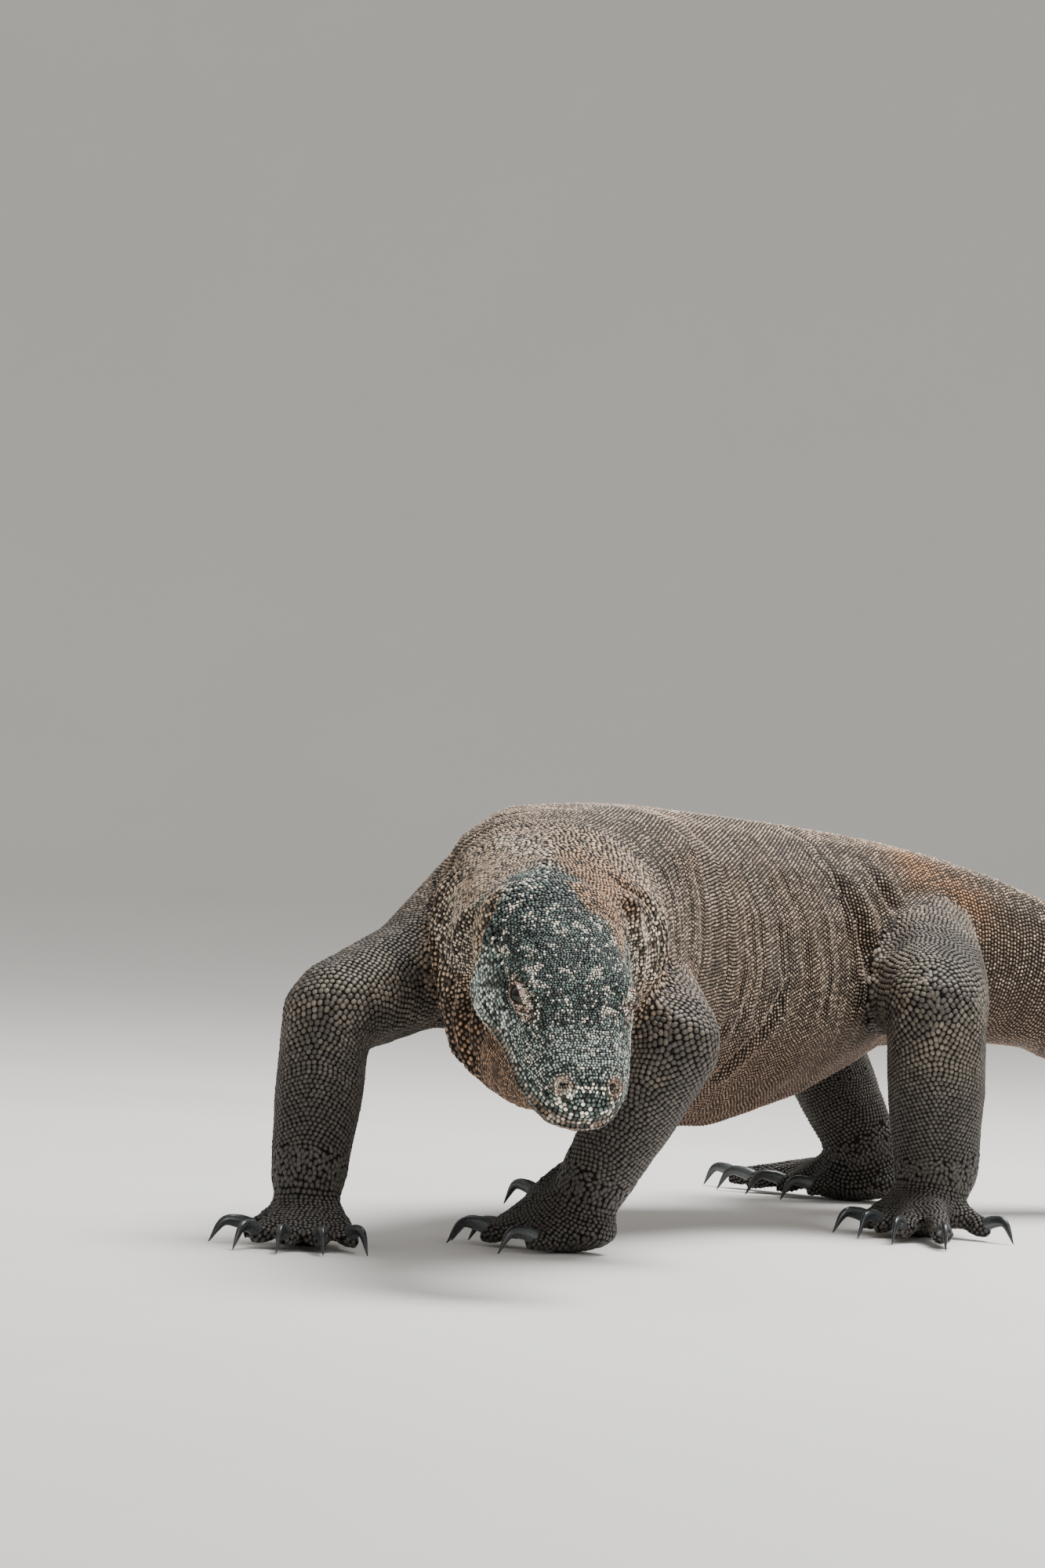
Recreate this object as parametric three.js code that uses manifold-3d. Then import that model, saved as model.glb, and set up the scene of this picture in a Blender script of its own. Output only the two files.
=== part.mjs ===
// A life-size Komodo dragon in mid-stride: head lowered and turned to its left, right fore foot and left hind
// foot forward, the end of the tail trailing on the ground. Millimetres, +Z up, head towards -Y, left side
// towards +X. The animal is built whole from closed tubes, joined, and parted by thin cuts where a person
// would name its parts.
import * as THREE from "three";
import { mergeVertices } from "three/addons/utils/BufferGeometryUtils.js";
import Module from "manifold-3d";

const wasm = await Module();
wasm.setup();

// ---------------------------------------------------------------- driving dimensions

const CUT = 0.3; // width of the cuts between the parts
const SKULL_LENGTH = 215; // snout tip to the back of the head
const EYE_RADIUS = 9;
const CLAW_LENGTH = 42;

// The trunk as stations along the spine: where its middle is, and how far the body reaches sideways, up and
// down.
const SPINE = [
  { name: "occiput", at: [208, -604, 290], wide: 60, over: 46, under: 58 },
  { name: "throat", at: [156, -530, 290], wide: 78, over: 62, under: 90 },
  { name: "neck", at: [96, -430, 288], wide: 94, over: 86, under: 106 },
  { name: "neck_base", at: [24, -322, 281], wide: 114, over: 116, under: 120 },
  { name: "withers", at: [-30, -214, 270], wide: 130, over: 139, under: 140 },
  { name: "ribs", at: [-66, -80, 257], wide: 143, over: 155, under: 156 },
  { name: "belly", at: [-84, 70, 251], wide: 152, over: 155, under: 158 },
  { name: "flank", at: [-72, 215, 260], wide: 132, over: 139, under: 134 },
  { name: "loin", at: [-48, 330, 270], wide: 98, over: 114, under: 100 },
  { name: "hip", at: [-10, 440, 266], wide: 84, over: 98, under: 88 },
  { name: "tail_root", at: [40, 560, 246], wide: 72, over: 78, under: 76 },
  { name: "tail_upper", at: [104, 730, 170], wide: 57, over: 66, under: 66 },
  { name: "tail_low", at: [158, 920, 84], wide: 44, over: 55, under: 57 },
  { name: "tail_middle", at: [182, 1130, 41], wide: 33, over: 43, under: 43 },
  { name: "tail_slim", at: [146, 1345, 30], wide: 23, over: 32, under: 32 },
  { name: "tail_whip", at: [62, 1540, 19], wide: 13, over: 20, under: 21 },
  { name: "tail_tip", at: [-50, 1710, 7], wide: 4, over: 6, under: 9 },
];

// The head as stations back from the snout tip: half width, height over the mouth and depth under it.
const HEAD = [
  { back: 4, wide: 25, over: 18, under: 29 },
  { back: 18, wide: 36, over: 28, under: 38 },
  { back: 38, wide: 44, over: 33, under: 41 },
  { back: 62, wide: 50, over: 37, under: 41 },
  { back: 86, wide: 55, over: 44, under: 46 },
  { back: 108, wide: 58, over: 49, under: 51 },
  { back: 135, wide: 61, over: 51, under: 55 },
  { back: 165, wide: 64, over: 51, under: 58 },
  { back: 195, wide: 64, over: 48, under: 58 },
  { back: SKULL_LENGTH, wide: 61, over: 43, under: 56 },
];

// Where the snout tip is and where the head points: turned to the left of straight ahead, and nodding down.
const HEAD_POSE = { tip: [328, -704, 153], turn: 52, nod: 49 };

// Each leg as its joints from the body out, and how thick it is at even steps along each bone. The foot's
// heel is a place on the ground, and its aim and the lean of each digit from the thumb out are angles seen
// from above. The knuckles are at one height, tilted towards the thumb, which may be lifted.
const LEGS = [
  {
    name: "fore_r",
    joints: { root: [-82, -277, 276], middle: [-116, -472, 208], end: [-100, -512, 56] },
    upper: [90, 63, 54, 51, 46],
    lower: [43, 45, 42, 37, 35],
    foot: { heel: [-104, -496], aim: -68, palm: 46, half: 37, thick: 24, knuckles: 30, tilt: 0, lift: 0 },
    leans: [38, 20, 2, -18, -56],
    digits: "fore",
    thumb: 1,
  },
  {
    name: "fore_l",
    joints: { root: [40, -225, 236], middle: [160, -318, 200], end: [76, -320, 58] },
    upper: [64, 60, 52, 44],
    lower: [46, 46, 42, 37, 34],
    foot: { heel: [82, -326], aim: -174, palm: 53, half: 37, thick: 26, knuckles: 42, tilt: 48, lift: 34 },
    leans: [16, 4, -2, -12, -68],
    digits: "fore",
    thumb: -1,
  },
  {
    name: "hind_l",
    joints: { root: [2, 350, 276], middle: [136, 182, 222], end: [124, 216, 58] },
    upper: [70, 70, 64, 54],
    lower: [52, 53, 50, 46, 43],
    foot: { heel: [106, 224], aim: -62, palm: 74, half: 41, thick: 27, knuckles: 30, tilt: 0, lift: 0 },
    leans: [56, 30, 10, -8, -50],
    digits: "hind",
    thumb: -1,
  },
  {
    name: "hind_r",
    joints: { root: [-70, 352, 270], middle: [-188, 463, 190], end: [-146, 524, 54] },
    upper: [70, 68, 60, 50],
    lower: [50, 50, 46, 41, 39],
    foot: { heel: [-130, 528], aim: -178, palm: 84, half: 40, thick: 26, knuckles: 30, tilt: 0, lift: 0 },
    leans: [60, 34, 14, -2, -46],
    digits: "hind",
    thumb: 1,
  },
];

// How long each digit is from its knuckle to its claw, from the thumb out, and where along and across the
// palm it starts.
const DIGIT_LENGTHS = { fore: [46, 50, 51, 47, 31], hind: [28, 42, 68, 102, 50] };
const KNUCKLE_REACH = { fore: [0.64, 0.88, 0.96, 0.86, 0.34], hind: [0.42, 0.7, 0.92, 1, 0.34] };
const KNUCKLE_ACROSS = [0.66, 0.36, 0.02, -0.34, -0.6];
const DIGIT_RADIUS = { fore: 12, hind: 13 };
const CLAW_BASE = { fore: 7, hind: 8 }; // half the thickness of a claw at its root

const HIDE = { color: 0x4a4640, roughness: 0.75, metalness: 0 };
const HEAD_HIDE = { color: 0x33443f, roughness: 0.7, metalness: 0 };
const HORN = { color: 0x1f2628, roughness: 0.4, metalness: 0 };
const EYE = { color: 0x1a1210, roughness: 0.08, metalness: 0 };

// ---------------------------------------------------------------- shapes

const vector = (list) => new THREE.Vector3(...list);
const radians = THREE.MathUtils.degToRad;

// A smooth curve through evenly numbered values, such as places or sizes held as vectors.
const smooth = (vectors) => new THREE.CatmullRomCurve3(vectors, false, "centripetal");

// A closed tube: the rows of a unit sphere become sections along a path. The first and last rows round off
// the ends. section(t, angle) gives the sideways and upward reach, frameAt(t) the place and directions there.
function tube({ around, rows, endRows, ends, section, frameAt }) {
  const ball = new THREE.SphereGeometry(1, around, rows);
  const position = ball.attributes.position;
  const quarter = Math.PI / 2 / endRows;
  const point = new THREE.Vector3();
  for (let i = 0; i < position.count; i++) {
    const row = Math.floor(i / (around + 1));
    const angle = ((i % (around + 1)) / around) * 2 * Math.PI;
    const intoStart = Math.max(0, endRows - row) * quarter;
    const intoEnd = Math.max(0, row - (rows - endRows)) * quarter;
    const t = THREE.MathUtils.clamp((row - endRows) / (rows - 2 * endRows), 0, 1);
    const closing = Math.cos(intoStart + intoEnd);
    const along = ends[1] * Math.sin(intoEnd) - ends[0] * Math.sin(intoStart);
    const [side, up] = section(t, angle);
    const frame = frameAt(t);
    point
      .copy(frame.at)
      .addScaledVector(frame.ahead, along)
      .addScaledVector(frame.side, side * closing)
      .addScaledVector(frame.up, up * closing);
    position.setXYZ(i, point.x, point.y, point.z);
  }
  return ball;
}

// An oval with its own reach up and down. A squareness over 1 fills out its corners.
function oval(angle, wide, over, under, squareness = 1) {
  const c = Math.cos(angle);
  const s = Math.sin(angle);
  const bent = (v) => Math.sign(v) * Math.abs(v) ** (1 / squareness);
  return [wide * bent(c), (s > 0 ? over : under) * bent(s)];
}

// How far a bulge lifts a point: its height at its middle, fading over its reach along the body and round it.
function bulgeAt({ height, along, reach, angle, spread }, place, placeAngle) {
  const away = Math.abs(THREE.MathUtils.euclideanModulo(placeAngle - angle + 180, 360) - 180) / spread;
  return height * Math.exp(-(((place - along) / reach) ** 2) - away ** 2);
}

// The same bulges on both sides. The angle goes from straight left over the top to straight right.
function bulging(bulges, place, angle) {
  const degrees = THREE.MathUtils.radToDeg(angle);
  const both = bulges.flatMap((b) => [b, { ...b, angle: 180 - b.angle }]);
  return both.reduce((sum, b) => sum + bulgeAt(b, place, degrees), 0);
}

// The place and directions at t along a curve. The side direction stays square to the one given.
function framesOf(curve, upward) {
  return (t) => {
    const ahead = curve.getTangent(t);
    const side = new THREE.Vector3().crossVectors(ahead, upward).normalize();
    const up = new THREE.Vector3().crossVectors(side, ahead).normalize();
    return { at: curve.getPoint(t), ahead, side, up };
  };
}

const UPWARD = new THREE.Vector3(0, 0, 1);

// A rod of flesh through the given places: oval sections whose radii are given at even steps along it.
function rod(places, radii, { flat = 1, upward = UPWARD, around = 10, rows = 6 } = {}) {
  const sizes = smooth(radii.map((r) => new THREE.Vector3(r, 0, 0)));
  const radius = (t) => sizes.getPoint(t).x;
  return tube({
    around,
    rows,
    endRows: 2,
    ends: [radii[0] * 0.9, radii[radii.length - 1] * 0.9],
    section: (t, angle) => oval(angle, radius(t), radius(t) * flat, radius(t) * flat),
    frameAt: framesOf(smooth(places), upward),
  });
}

const solid = (geometry) => {
  const bare = new THREE.BufferGeometry();
  bare.setIndex(geometry.index);
  bare.setAttribute("position", geometry.attributes.position);
  const merged = mergeVertices(bare, 1e-3);
  return new wasm.Manifold(
    new wasm.Mesh({
      numProp: 3,
      vertProperties: new Float32Array(merged.attributes.position.array),
      triVerts: new Uint32Array(merged.index.array),
    }),
  );
};

const joined = (solids) => solids.reduce((all, one) => all.add(one));

// A thin round cut, square to the direction ahead.
function cutter(at, ahead, radius) {
  const disc = new THREE.CylinderGeometry(radius, radius, CUT, 24);
  const along = new THREE.Vector3(0, 1, 0);
  disc.applyQuaternion(new THREE.Quaternion().setFromUnitVectors(along, ahead.clone().normalize()));
  disc.translate(at.x, at.y, at.z);
  return solid(disc);
}

// ---------------------------------------------------------------- trunk and tail

const spine = smooth(SPINE.map((s) => vector(s.at)));
const girth = smooth(SPINE.map((s) => new THREE.Vector3(s.wide, s.over, s.under)));
const stationStep = 1 / (SPINE.length - 1);
const station = (name) => SPINE.findIndex((s) => s.name === name) * stationStep;

// The shoulder blades' muscle stands out beside the withers. Heights are shares of the reach there.
const TRUNK_BULGES = [
  { height: 0.15, along: station("withers") / stationStep - 0.15, reach: 0.75, angle: 46, spread: 24 },
  { height: 0.06, along: station("loin") / stationStep, reach: 0.7, angle: 55, spread: 25 },
];

// The trunk and tail as one solid, grown by a margin.
function trunk(margin) {
  return solid(
    tube({
      around: 18,
      rows: 28,
      endRows: 2,
      ends: [30 + margin, 14 + margin],
      section: (t, angle) => {
        const size = girth.getPoint(t).addScalar(margin);
        const [side, up] = oval(angle, size.x, size.y, size.z, 1.04);
        const lift = 1 + bulging(TRUNK_BULGES, t / stationStep, angle);
        return [side * lift, up * lift];
      },
      frameAt: framesOf(spine, UPWARD),
    }),
  );
}

// Where the spine is parted: a share of the way from one station to the next, and how wide the cut reaches.
const SPINE_CUTS = [
  { after: "neck", share: 0.7, radius: 150 },
  { after: "withers", share: 0.75, radius: 205 },
  { after: "belly", share: 0.2, radius: 205 },
  { after: "flank", share: 0.2, radius: 190 },
  { after: "hip", share: 0.45, radius: 112 },
  { after: "tail_upper", share: 0.2, radius: 90 },
  { after: "tail_middle", share: 0, radius: 70 },
  { after: "tail_slim", share: 0.1, radius: 50 },
];
const SPINE_NODES = [
  ["neck", "neck"],
  ["chest", "withers"],
  ["ribs", "ribs"],
  ["belly", "flank"],
  ["pelvis", "loin"],
  ["tail_1", "tail_root"],
  ["tail_2", "tail_low"],
  ["tail_3", "tail_slim"],
  ["tail_4", "tail_whip"],
];
const spineCuts = SPINE_CUTS.map(({ after, share, radius }) => {
  const t = station(after) + share * stationStep;
  return { t, radius, at: spine.getPoint(t), ahead: spine.getTangent(t) };
});

// ---------------------------------------------------------------- head

const nod = radians(HEAD_POSE.nod);
const turn = radians(HEAD_POSE.turn);
const level = new THREE.Vector3(Math.sin(turn), -Math.cos(turn), 0);
const headAhead = level.multiplyScalar(Math.cos(nod)).setZ(-Math.sin(nod));
const headSide = new THREE.Vector3(Math.cos(turn), Math.sin(turn), 0); // the animal's left
const headUp = new THREE.Vector3().crossVectors(headAhead, headSide).normalize();

// A place on the head: back from the snout tip, out to the left and up from the mouth.
const onHead = (back, left, up) =>
  vector(HEAD_POSE.tip)
    .addScaledVector(headAhead, -back)
    .addScaledVector(headSide, left)
    .addScaledVector(headUp, up);

// The brow ridges over the eyes, the hollow cheeks, the rims of the nostrils and the muscle at the corners of
// the jaw, in millimetres.
const HEAD_BULGES = [
  { height: 7, along: 106, reach: 19, angle: 47, spread: 17 },
  { height: -4, along: 72, reach: 26, angle: 52, spread: 22 },
  { height: 4, along: 17, reach: 11, angle: 50, spread: 22 },
  { height: 14, along: 132, reach: 30, angle: -24, spread: 26 },
  { height: 5, along: 40, reach: 36, angle: -32, spread: 24 },
];

function skull() {
  const sizes = smooth(HEAD.map((s) => new THREE.Vector3(s.wide, s.over, s.under)));
  const path = smooth(HEAD.map((s) => onHead(s.back, 0, 0)));
  const ahead = headAhead.clone().negate();
  const backOf = (t) => vector(HEAD_POSE.tip).distanceTo(path.getPoint(t));
  return solid(
    tube({
      around: 20,
      rows: 18,
      endRows: 2,
      ends: [9, 20],
      section: (t, angle) => {
        const size = sizes.getPoint(t);
        const [side, up] = oval(angle, size.x, size.y, size.z, 1.22);
        const lift = 1 + bulging(HEAD_BULGES, backOf(t), angle) / Math.hypot(side, up);
        return [side * lift, up * lift];
      },
      frameAt: (t) => ({ at: path.getPoint(t), ahead, side: headSide, up: headUp }),
    }),
  );
}

const EYE_PLACE = { back: 101, out: 46, up: 28 };
const eyeAt = (side) => onHead(EYE_PLACE.back, side * EYE_PLACE.out, EYE_PLACE.up);

// The loose throat hangs to the right of the lowered head.
const POUCH = [[66, -450, 240], [100, -508, 230], [152, -566, 208], [214, -618, 184], [262, -654, 172]];
const POUCH_RADII = [60, 51, 41, 29, 20];
const pouch = () => solid(rod(POUCH.map(vector), POUCH_RADII, { flat: 1.42, rows: 8 }));

function ball(at, radius, around, rows) {
  return new THREE.SphereGeometry(radius, around, rows).translate(at.x, at.y, at.z);
}
const eyeball = (side, radius) => ball(eyeAt(side), radius, 10, 6);

// ---------------------------------------------------------------- legs

// Which way a foot points, and which way lies its thumb.
function footAxes(leg) {
  const aim = radians(leg.foot.aim);
  const forward = new THREE.Vector3(Math.cos(aim), Math.sin(aim), 0);
  const thumbWards = new THREE.Vector3(-forward.y, forward.x, 0).multiplyScalar(leg.thumb);
  return { aim, forward, thumbWards };
}

// A digit's knuckle, its end at the claw's root and the direction in which it points.
function digitPath(leg, index) {
  const { heel, palm, half, knuckles, tilt, lift } = leg.foot;
  const { aim, forward, thumbWards } = footAxes(leg);
  const lean = aim + leg.thumb * radians(leg.leans[index]);
  const ahead = new THREE.Vector3(Math.cos(lean), Math.sin(lean), 0);
  const radius = DIGIT_RADIUS[leg.digits];
  const across = KNUCKLE_ACROSS[index];
  const knuckle = new THREE.Vector3(heel[0], heel[1], Math.max(radius + 2, knuckles + tilt * across))
    .addScaledVector(forward, KNUCKLE_REACH[leg.digits][index] * palm)
    .addScaledVector(thumbWards, across * half);
  const raised = index === 0 ? lift : 0;
  const tip = knuckle
    .clone()
    .addScaledVector(ahead, DIGIT_LENGTHS[leg.digits][index])
    .setZ(radius - 0.5 + raised);
  return { knuckle, tip, ahead, radius };
}

const digitPaths = (leg) => leg.leans.map((_, index) => digitPath(leg, index));

// A digit: a raised knuckle, a low pad that meets the ground and a slightly swollen end that holds the claw.
function digit({ knuckle, tip, radius }, margin = 0) {
  const middle = knuckle.clone().lerp(tip, 0.5);
  middle.z = (knuckle.z + tip.z) / 2 + 4;
  const radii = [radius + 2, radius + 1, radius - 1].map((r) => r + margin);
  return solid(rod([knuckle, middle, tip], radii, { around: 6, rows: 5 }));
}

// A claw: a hooked horn, deeper than wide, that rises out of the digit and curves down to the ground.
function claw({ tip, ahead, radius }, base) {
  const profile = [[-0.12, 2], [0.3, 8], [0.68, 3], [0.92, 3 - radius]];
  const places = profile.map(([forward, up]) =>
    tip
      .clone()
      .addScaledVector(ahead, forward * CLAW_LENGTH)
      .addScaledVector(UPWARD, up),
  );
  return solid(
    tube({
      around: 5,
      rows: 5,
      endRows: 1,
      ends: [3, 2],
      section: (t, angle) => {
        const size = base * (1 - 0.84 * t ** 1.3);
        return oval(angle, size * 0.8, size, size * 1.1);
      },
      frameAt: framesOf(new THREE.CatmullRomCurve3(places), UPWARD),
    }),
  );
}

// The sole, the instep from the ankle down to the knuckles, and the digits.
function foot(leg) {
  const { heel, palm, half, thick, knuckles, tilt } = leg.foot;
  const { forward, thumbWards } = footAxes(leg);
  const back = new THREE.Vector3(heel[0], heel[1], thick - 2);
  const front = back.clone().addScaledVector(forward, palm * 0.72);
  const pad = rod([back, front], [half * 0.84, half, half * 0.94], { flat: thick / half });
  const ankle = vector(leg.joints.end);
  const bridge = front.clone().setZ(knuckles);
  const upward = UPWARD.clone().addScaledVector(thumbWards, -tilt / half / 2);
  const instep = rod([ankle, bridge], [half * 0.9, half * 0.85, half * 0.7], { flat: 0.7, upward });
  return joined([solid(pad), solid(instep), ...digitPaths(leg).map((path) => digit(path))]);
}

function legSolids(leg) {
  const [root, middle, end] = [leg.joints.root, leg.joints.middle, leg.joints.end].map(vector);
  const upper = rod([root, middle], leg.upper, { rows: 6 });
  const lower = rod([middle, end], leg.lower, { rows: 6, upward: new THREE.Vector3(0.6, -0.8, 0) });
  return joined([solid(upper), solid(lower), foot(leg)]);
}

function legCuts(leg) {
  const [root, middle, end] = [leg.joints.root, leg.joints.middle, leg.joints.end].map(vector);
  const thigh = middle.clone().sub(root).normalize();
  const shin = end.clone().sub(middle).normalize();
  const knee = thigh.clone().add(shin).normalize();
  return [
    { at: middle, ahead: knee, radius: leg.upper[3] * 2.5 },
    { at: middle.clone().lerp(end, 0.86), ahead: shin, radius: leg.lower[3] * 1.7 },
  ];
}

// Each leg's nodes and a place inside each.
function legSeeds(leg) {
  const [root, middle, end] = [leg.joints.root, leg.joints.middle, leg.joints.end].map(vector);
  const names = leg.digits === "fore" ? ["upper_arm", "forearm", "hand"] : ["thigh", "shank", "foot"];
  const sole = new THREE.Vector3(leg.foot.heel[0], leg.foot.heel[1], leg.foot.thick * 0.7);
  const seeds = [
    [names[0], root.clone().lerp(middle, 0.85)],
    [names[1], middle.clone().lerp(end, 0.5)],
    [names[2], sole],
  ];
  return seeds.map(([part, at]) => [`${part}_${leg.name}`, at]);
}

// ---------------------------------------------------------------- the whole animal, parted

const ground = solid(new THREE.BoxGeometry(4000, 6000, 200).translate(0, 0, -100));
const discs = (cuts) => joined(cuts.map((c) => cutter(c.at, c.ahead, c.radius)));
const parted = (whole, cuts) => whole.subtract(discs(cuts)).decompose();

const largest = (pieces) => pieces.reduce((best, piece) => (piece.volume() > best.volume() ? piece : best));

// The solid that holds a place.
function holding(pieces, at, name) {
  const probe = solid(ball(at, 0.5, 6, 4));
  const found = pieces.find((piece) => piece.intersect(probe).volume() > 0);
  if (!found) throw new Error("no solid holds " + name);
  return found;
}

// Names the piece that holds each seed. Two names in one piece mean that a cut has failed.
const named = new Map();
function name(pieces, seeds) {
  for (const [node, at] of seeds) {
    const found = holding(pieces, at, node);
    if ([...named.values()].includes(found)) throw new Error(node + " isn't parted from its neighbour");
    named.set(node, found);
  }
}

const napeAhead = headAhead.clone().sub(spine.getTangent(0)).normalize();
const headCut = { at: onHead(SKULL_LENGTH - 10, 0, -10), ahead: napeAhead, radius: 230 };
const body = joined([trunk(0), skull(), pouch()]).subtract(ground);
const bodySeeds = SPINE_NODES.map(([node, at]) => [node, spine.getPoint(station(at))]);
name(parted(body, [headCut, ...spineCuts]), [["head", onHead(120, 0, 20)], ...bodySeeds]);

// A leg ends where it meets the trunk.
const clearance = trunk(CUT).add(ground);
for (const leg of LEGS) {
  name(parted(legSolids(leg).subtract(clearance), legCuts(leg)), legSeeds(leg));
  const flesh = joined([ground, ...digitPaths(leg).map((path) => digit(path, CUT))]);
  digitPaths(leg).forEach((path, index) => {
    const horn = claw(path, CLAW_BASE[leg.digits]).subtract(flesh);
    named.set(`claw_${index + 1}_${leg.name}`, largest(horn.decompose()));
  });
}

// The head is parted along the mouth, and its sockets hold the eyes.
const mouthBasis = new THREE.Matrix4().makeBasis(headAhead, headSide, headUp);
mouthBasis.setPosition(onHead(SKULL_LENGTH / 2, 0, 0));
const mouth = solid(new THREE.BoxGeometry(SKULL_LENGTH + 60, 200, CUT).applyMatrix4(mouthBasis));
const sockets = [-1, 1].map((side) => solid(eyeball(side, EYE_RADIUS + CUT)));
const headParts = named.get("head").subtract(joined([mouth, ...sockets])).decompose();
named.set("head", holding(headParts, onHead(60, 0, 15), "the head"));
named.set("jaw", holding(headParts, onHead(60, 0, -8), "the jaw"));

// ---------------------------------------------------------------- scene graph

function meshOf(name, made, finish) {
  const data = made.getMesh();
  const geometry = new THREE.BufferGeometry();
  geometry.setAttribute("position", new THREE.BufferAttribute(new Float32Array(data.vertProperties), 3));
  geometry.setIndex(new THREE.BufferAttribute(new Uint32Array(data.triVerts), 1));
  geometry.computeVertexNormals();
  const mesh = new THREE.Mesh(geometry, new THREE.MeshStandardMaterial(finish));
  mesh.name = name;
  return mesh;
}

const finishOf = (name) => {
  if (name.startsWith("claw")) return HORN;
  return name === "head" || name === "jaw" ? HEAD_HIDE : HIDE;
};

const dragon = new THREE.Group();
for (const [name, made] of named) dragon.add(meshOf(name, made, finishOf(name)));
for (const [eyeName, side] of [["eye_r", -1], ["eye_l", 1]]) {
  const eye = new THREE.Mesh(eyeball(side, EYE_RADIUS), new THREE.MeshStandardMaterial(EYE));
  eye.name = eyeName;
  dragon.add(eye);
}

// The origin is on the ground under the middle of the animal's box.
const box = new THREE.Box3().setFromObject(dragon);
const middle = box.getCenter(new THREE.Vector3());
dragon.position.set(-middle.x, -middle.y, 0);

export default dragon;
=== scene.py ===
"""The hide, scales, eyes, claws and studio of a life-size Komodo dragon, built on its solid model."""

import math

import bmesh
import bpy
import numpy as np
from bpy.props import FloatProperty, FloatVectorProperty, PointerProperty
from mathutils import Matrix, Vector, noise
from mathutils.bvhtree import BVHTree
from mathutils.kdtree import KDTree


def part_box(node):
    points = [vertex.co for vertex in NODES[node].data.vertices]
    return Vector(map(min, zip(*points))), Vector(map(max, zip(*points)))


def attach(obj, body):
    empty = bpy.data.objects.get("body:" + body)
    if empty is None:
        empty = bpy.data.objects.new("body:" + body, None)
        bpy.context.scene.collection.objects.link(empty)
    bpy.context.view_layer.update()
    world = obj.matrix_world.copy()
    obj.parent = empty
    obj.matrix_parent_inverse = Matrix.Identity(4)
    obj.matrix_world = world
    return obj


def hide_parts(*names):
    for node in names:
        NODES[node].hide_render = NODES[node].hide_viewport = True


bl_info = {
    "name": "Komodo dragon",
    "version": (1, 0, 0),
    "blender": (4, 5, 0),
    "location": "View3D > Sidebar > Dragon",
    "description": "Builds the hide, scales, eyes and claws of a life-size Komodo dragon",
    "category": "Add Mesh",
}

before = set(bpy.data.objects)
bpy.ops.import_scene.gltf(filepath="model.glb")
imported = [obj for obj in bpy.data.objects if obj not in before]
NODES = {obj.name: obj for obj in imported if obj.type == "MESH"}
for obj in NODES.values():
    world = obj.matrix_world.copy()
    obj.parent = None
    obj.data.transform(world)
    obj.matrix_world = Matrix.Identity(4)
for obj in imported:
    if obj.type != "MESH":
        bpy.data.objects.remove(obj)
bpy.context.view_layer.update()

MM = 0.001
TRUNK_NODES = ["neck", "chest", "ribs", "belly", "pelvis", "tail_1", "tail_2", "tail_3", "tail_4"]
HEAD_NODES = ["head", "jaw"]
LEGS = {
    "fore_r": ("upper_arm", "forearm", "hand"),
    "fore_l": ("upper_arm", "forearm", "hand"),
    "hind_r": ("thigh", "shank", "foot"),
    "hind_l": ("thigh", "shank", "foot"),
}
FLESH = TRUNK_NODES + HEAD_NODES + [f"{part}_{leg}" for leg, parts in LEGS.items() for part in parts]

# Parts of the hide. Each has its own direction of scale rows.
TRUNK, HEAD, LID, LIP, CHEEK, THROAT = range(6)
NECK = 14
LEG = {leg: 6 + i for i, leg in enumerate(LEGS)}
HAND = {leg: 10 + i for i, leg in enumerate(LEGS)}
FIRST_LEG, FIRST_HAND = LEG["fore_r"], HAND["fore_r"]  # legs, then hands and feet, have the highest numbers

OVERLAP = 0.4 * MM  # how far the solids are grown to close the cuts between them
EYE_RADIUS = 9  # millimetres
NOSTRIL = (12.5 * MM, 23 * MM, 21 * MM)  # back from the snout tip, out to the side and up
NOSTRIL_PIT = 5.4 * MM  # how wide the pit of a nostril is, as a radius
MOUTH_CORNER = 128 * MM  # how far back the mouth reaches
CAMERA_PLACE = (2.8796, -4.9519, 0.420)
CAMERA_RISE = 0.00077  # the camera looks up by this slope
FLOOR_REACH, FLOOR_CURVE = 13, 3  # metres of level floor round the animal, and how wide it curves up after that
TRUNK_GIRTH = ([0, 0.3, 0.8, 1.2, 1.7, 2.54], [0.075, 0.115, 0.15, 0.09, 0.055, 0.008])  # mean radius at lengths


# ---------------------------------------------------------------- places on the animal


def unit(v):
    return v / np.linalg.norm(v)


def is_head(part):
    """Which places are on any part of the head."""
    return (part >= HEAD) & (part <= THROAT)


def centre(node):
    low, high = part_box(node)
    return np.array((low + high) / 2)


# The head points left of straight ahead, and down.
HEAD_TURN = math.radians(52)
HEAD_NOD = math.radians(49)
HEAD_AHEAD = np.array(
    [
        math.cos(HEAD_NOD) * math.sin(HEAD_TURN),
        -math.cos(HEAD_NOD) * math.cos(HEAD_TURN),
        -math.sin(HEAD_NOD),
    ]
)
HEAD_SIDE = unit(centre("eye_l") - centre("eye_r"))
HEAD_UP = np.cross(HEAD_AHEAD, HEAD_SIDE)
EYE_BACK = 101 * MM  # from the snout tip to the eyes
EYE_UP = 28 * MM  # from the mouth's level to the eyes
SNOUT = (centre("eye_l") + centre("eye_r")) / 2 + EYE_BACK * HEAD_AHEAD - EYE_UP * HEAD_UP
EYES = {"eye_r": centre("eye_r"), "eye_l": centre("eye_l")}
NOSTRILS = [
    SNOUT - NOSTRIL[0] * HEAD_AHEAD + side * NOSTRIL[1] * HEAD_SIDE + NOSTRIL[2] * HEAD_UP for side in (-1, 1)
]


def on_head(places):
    """Places as how far back from the snout tip, to the left and above the mouth's level they are."""
    away = places - SNOUT
    return -away @ HEAD_AHEAD, away @ HEAD_SIDE, away @ HEAD_UP


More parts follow.
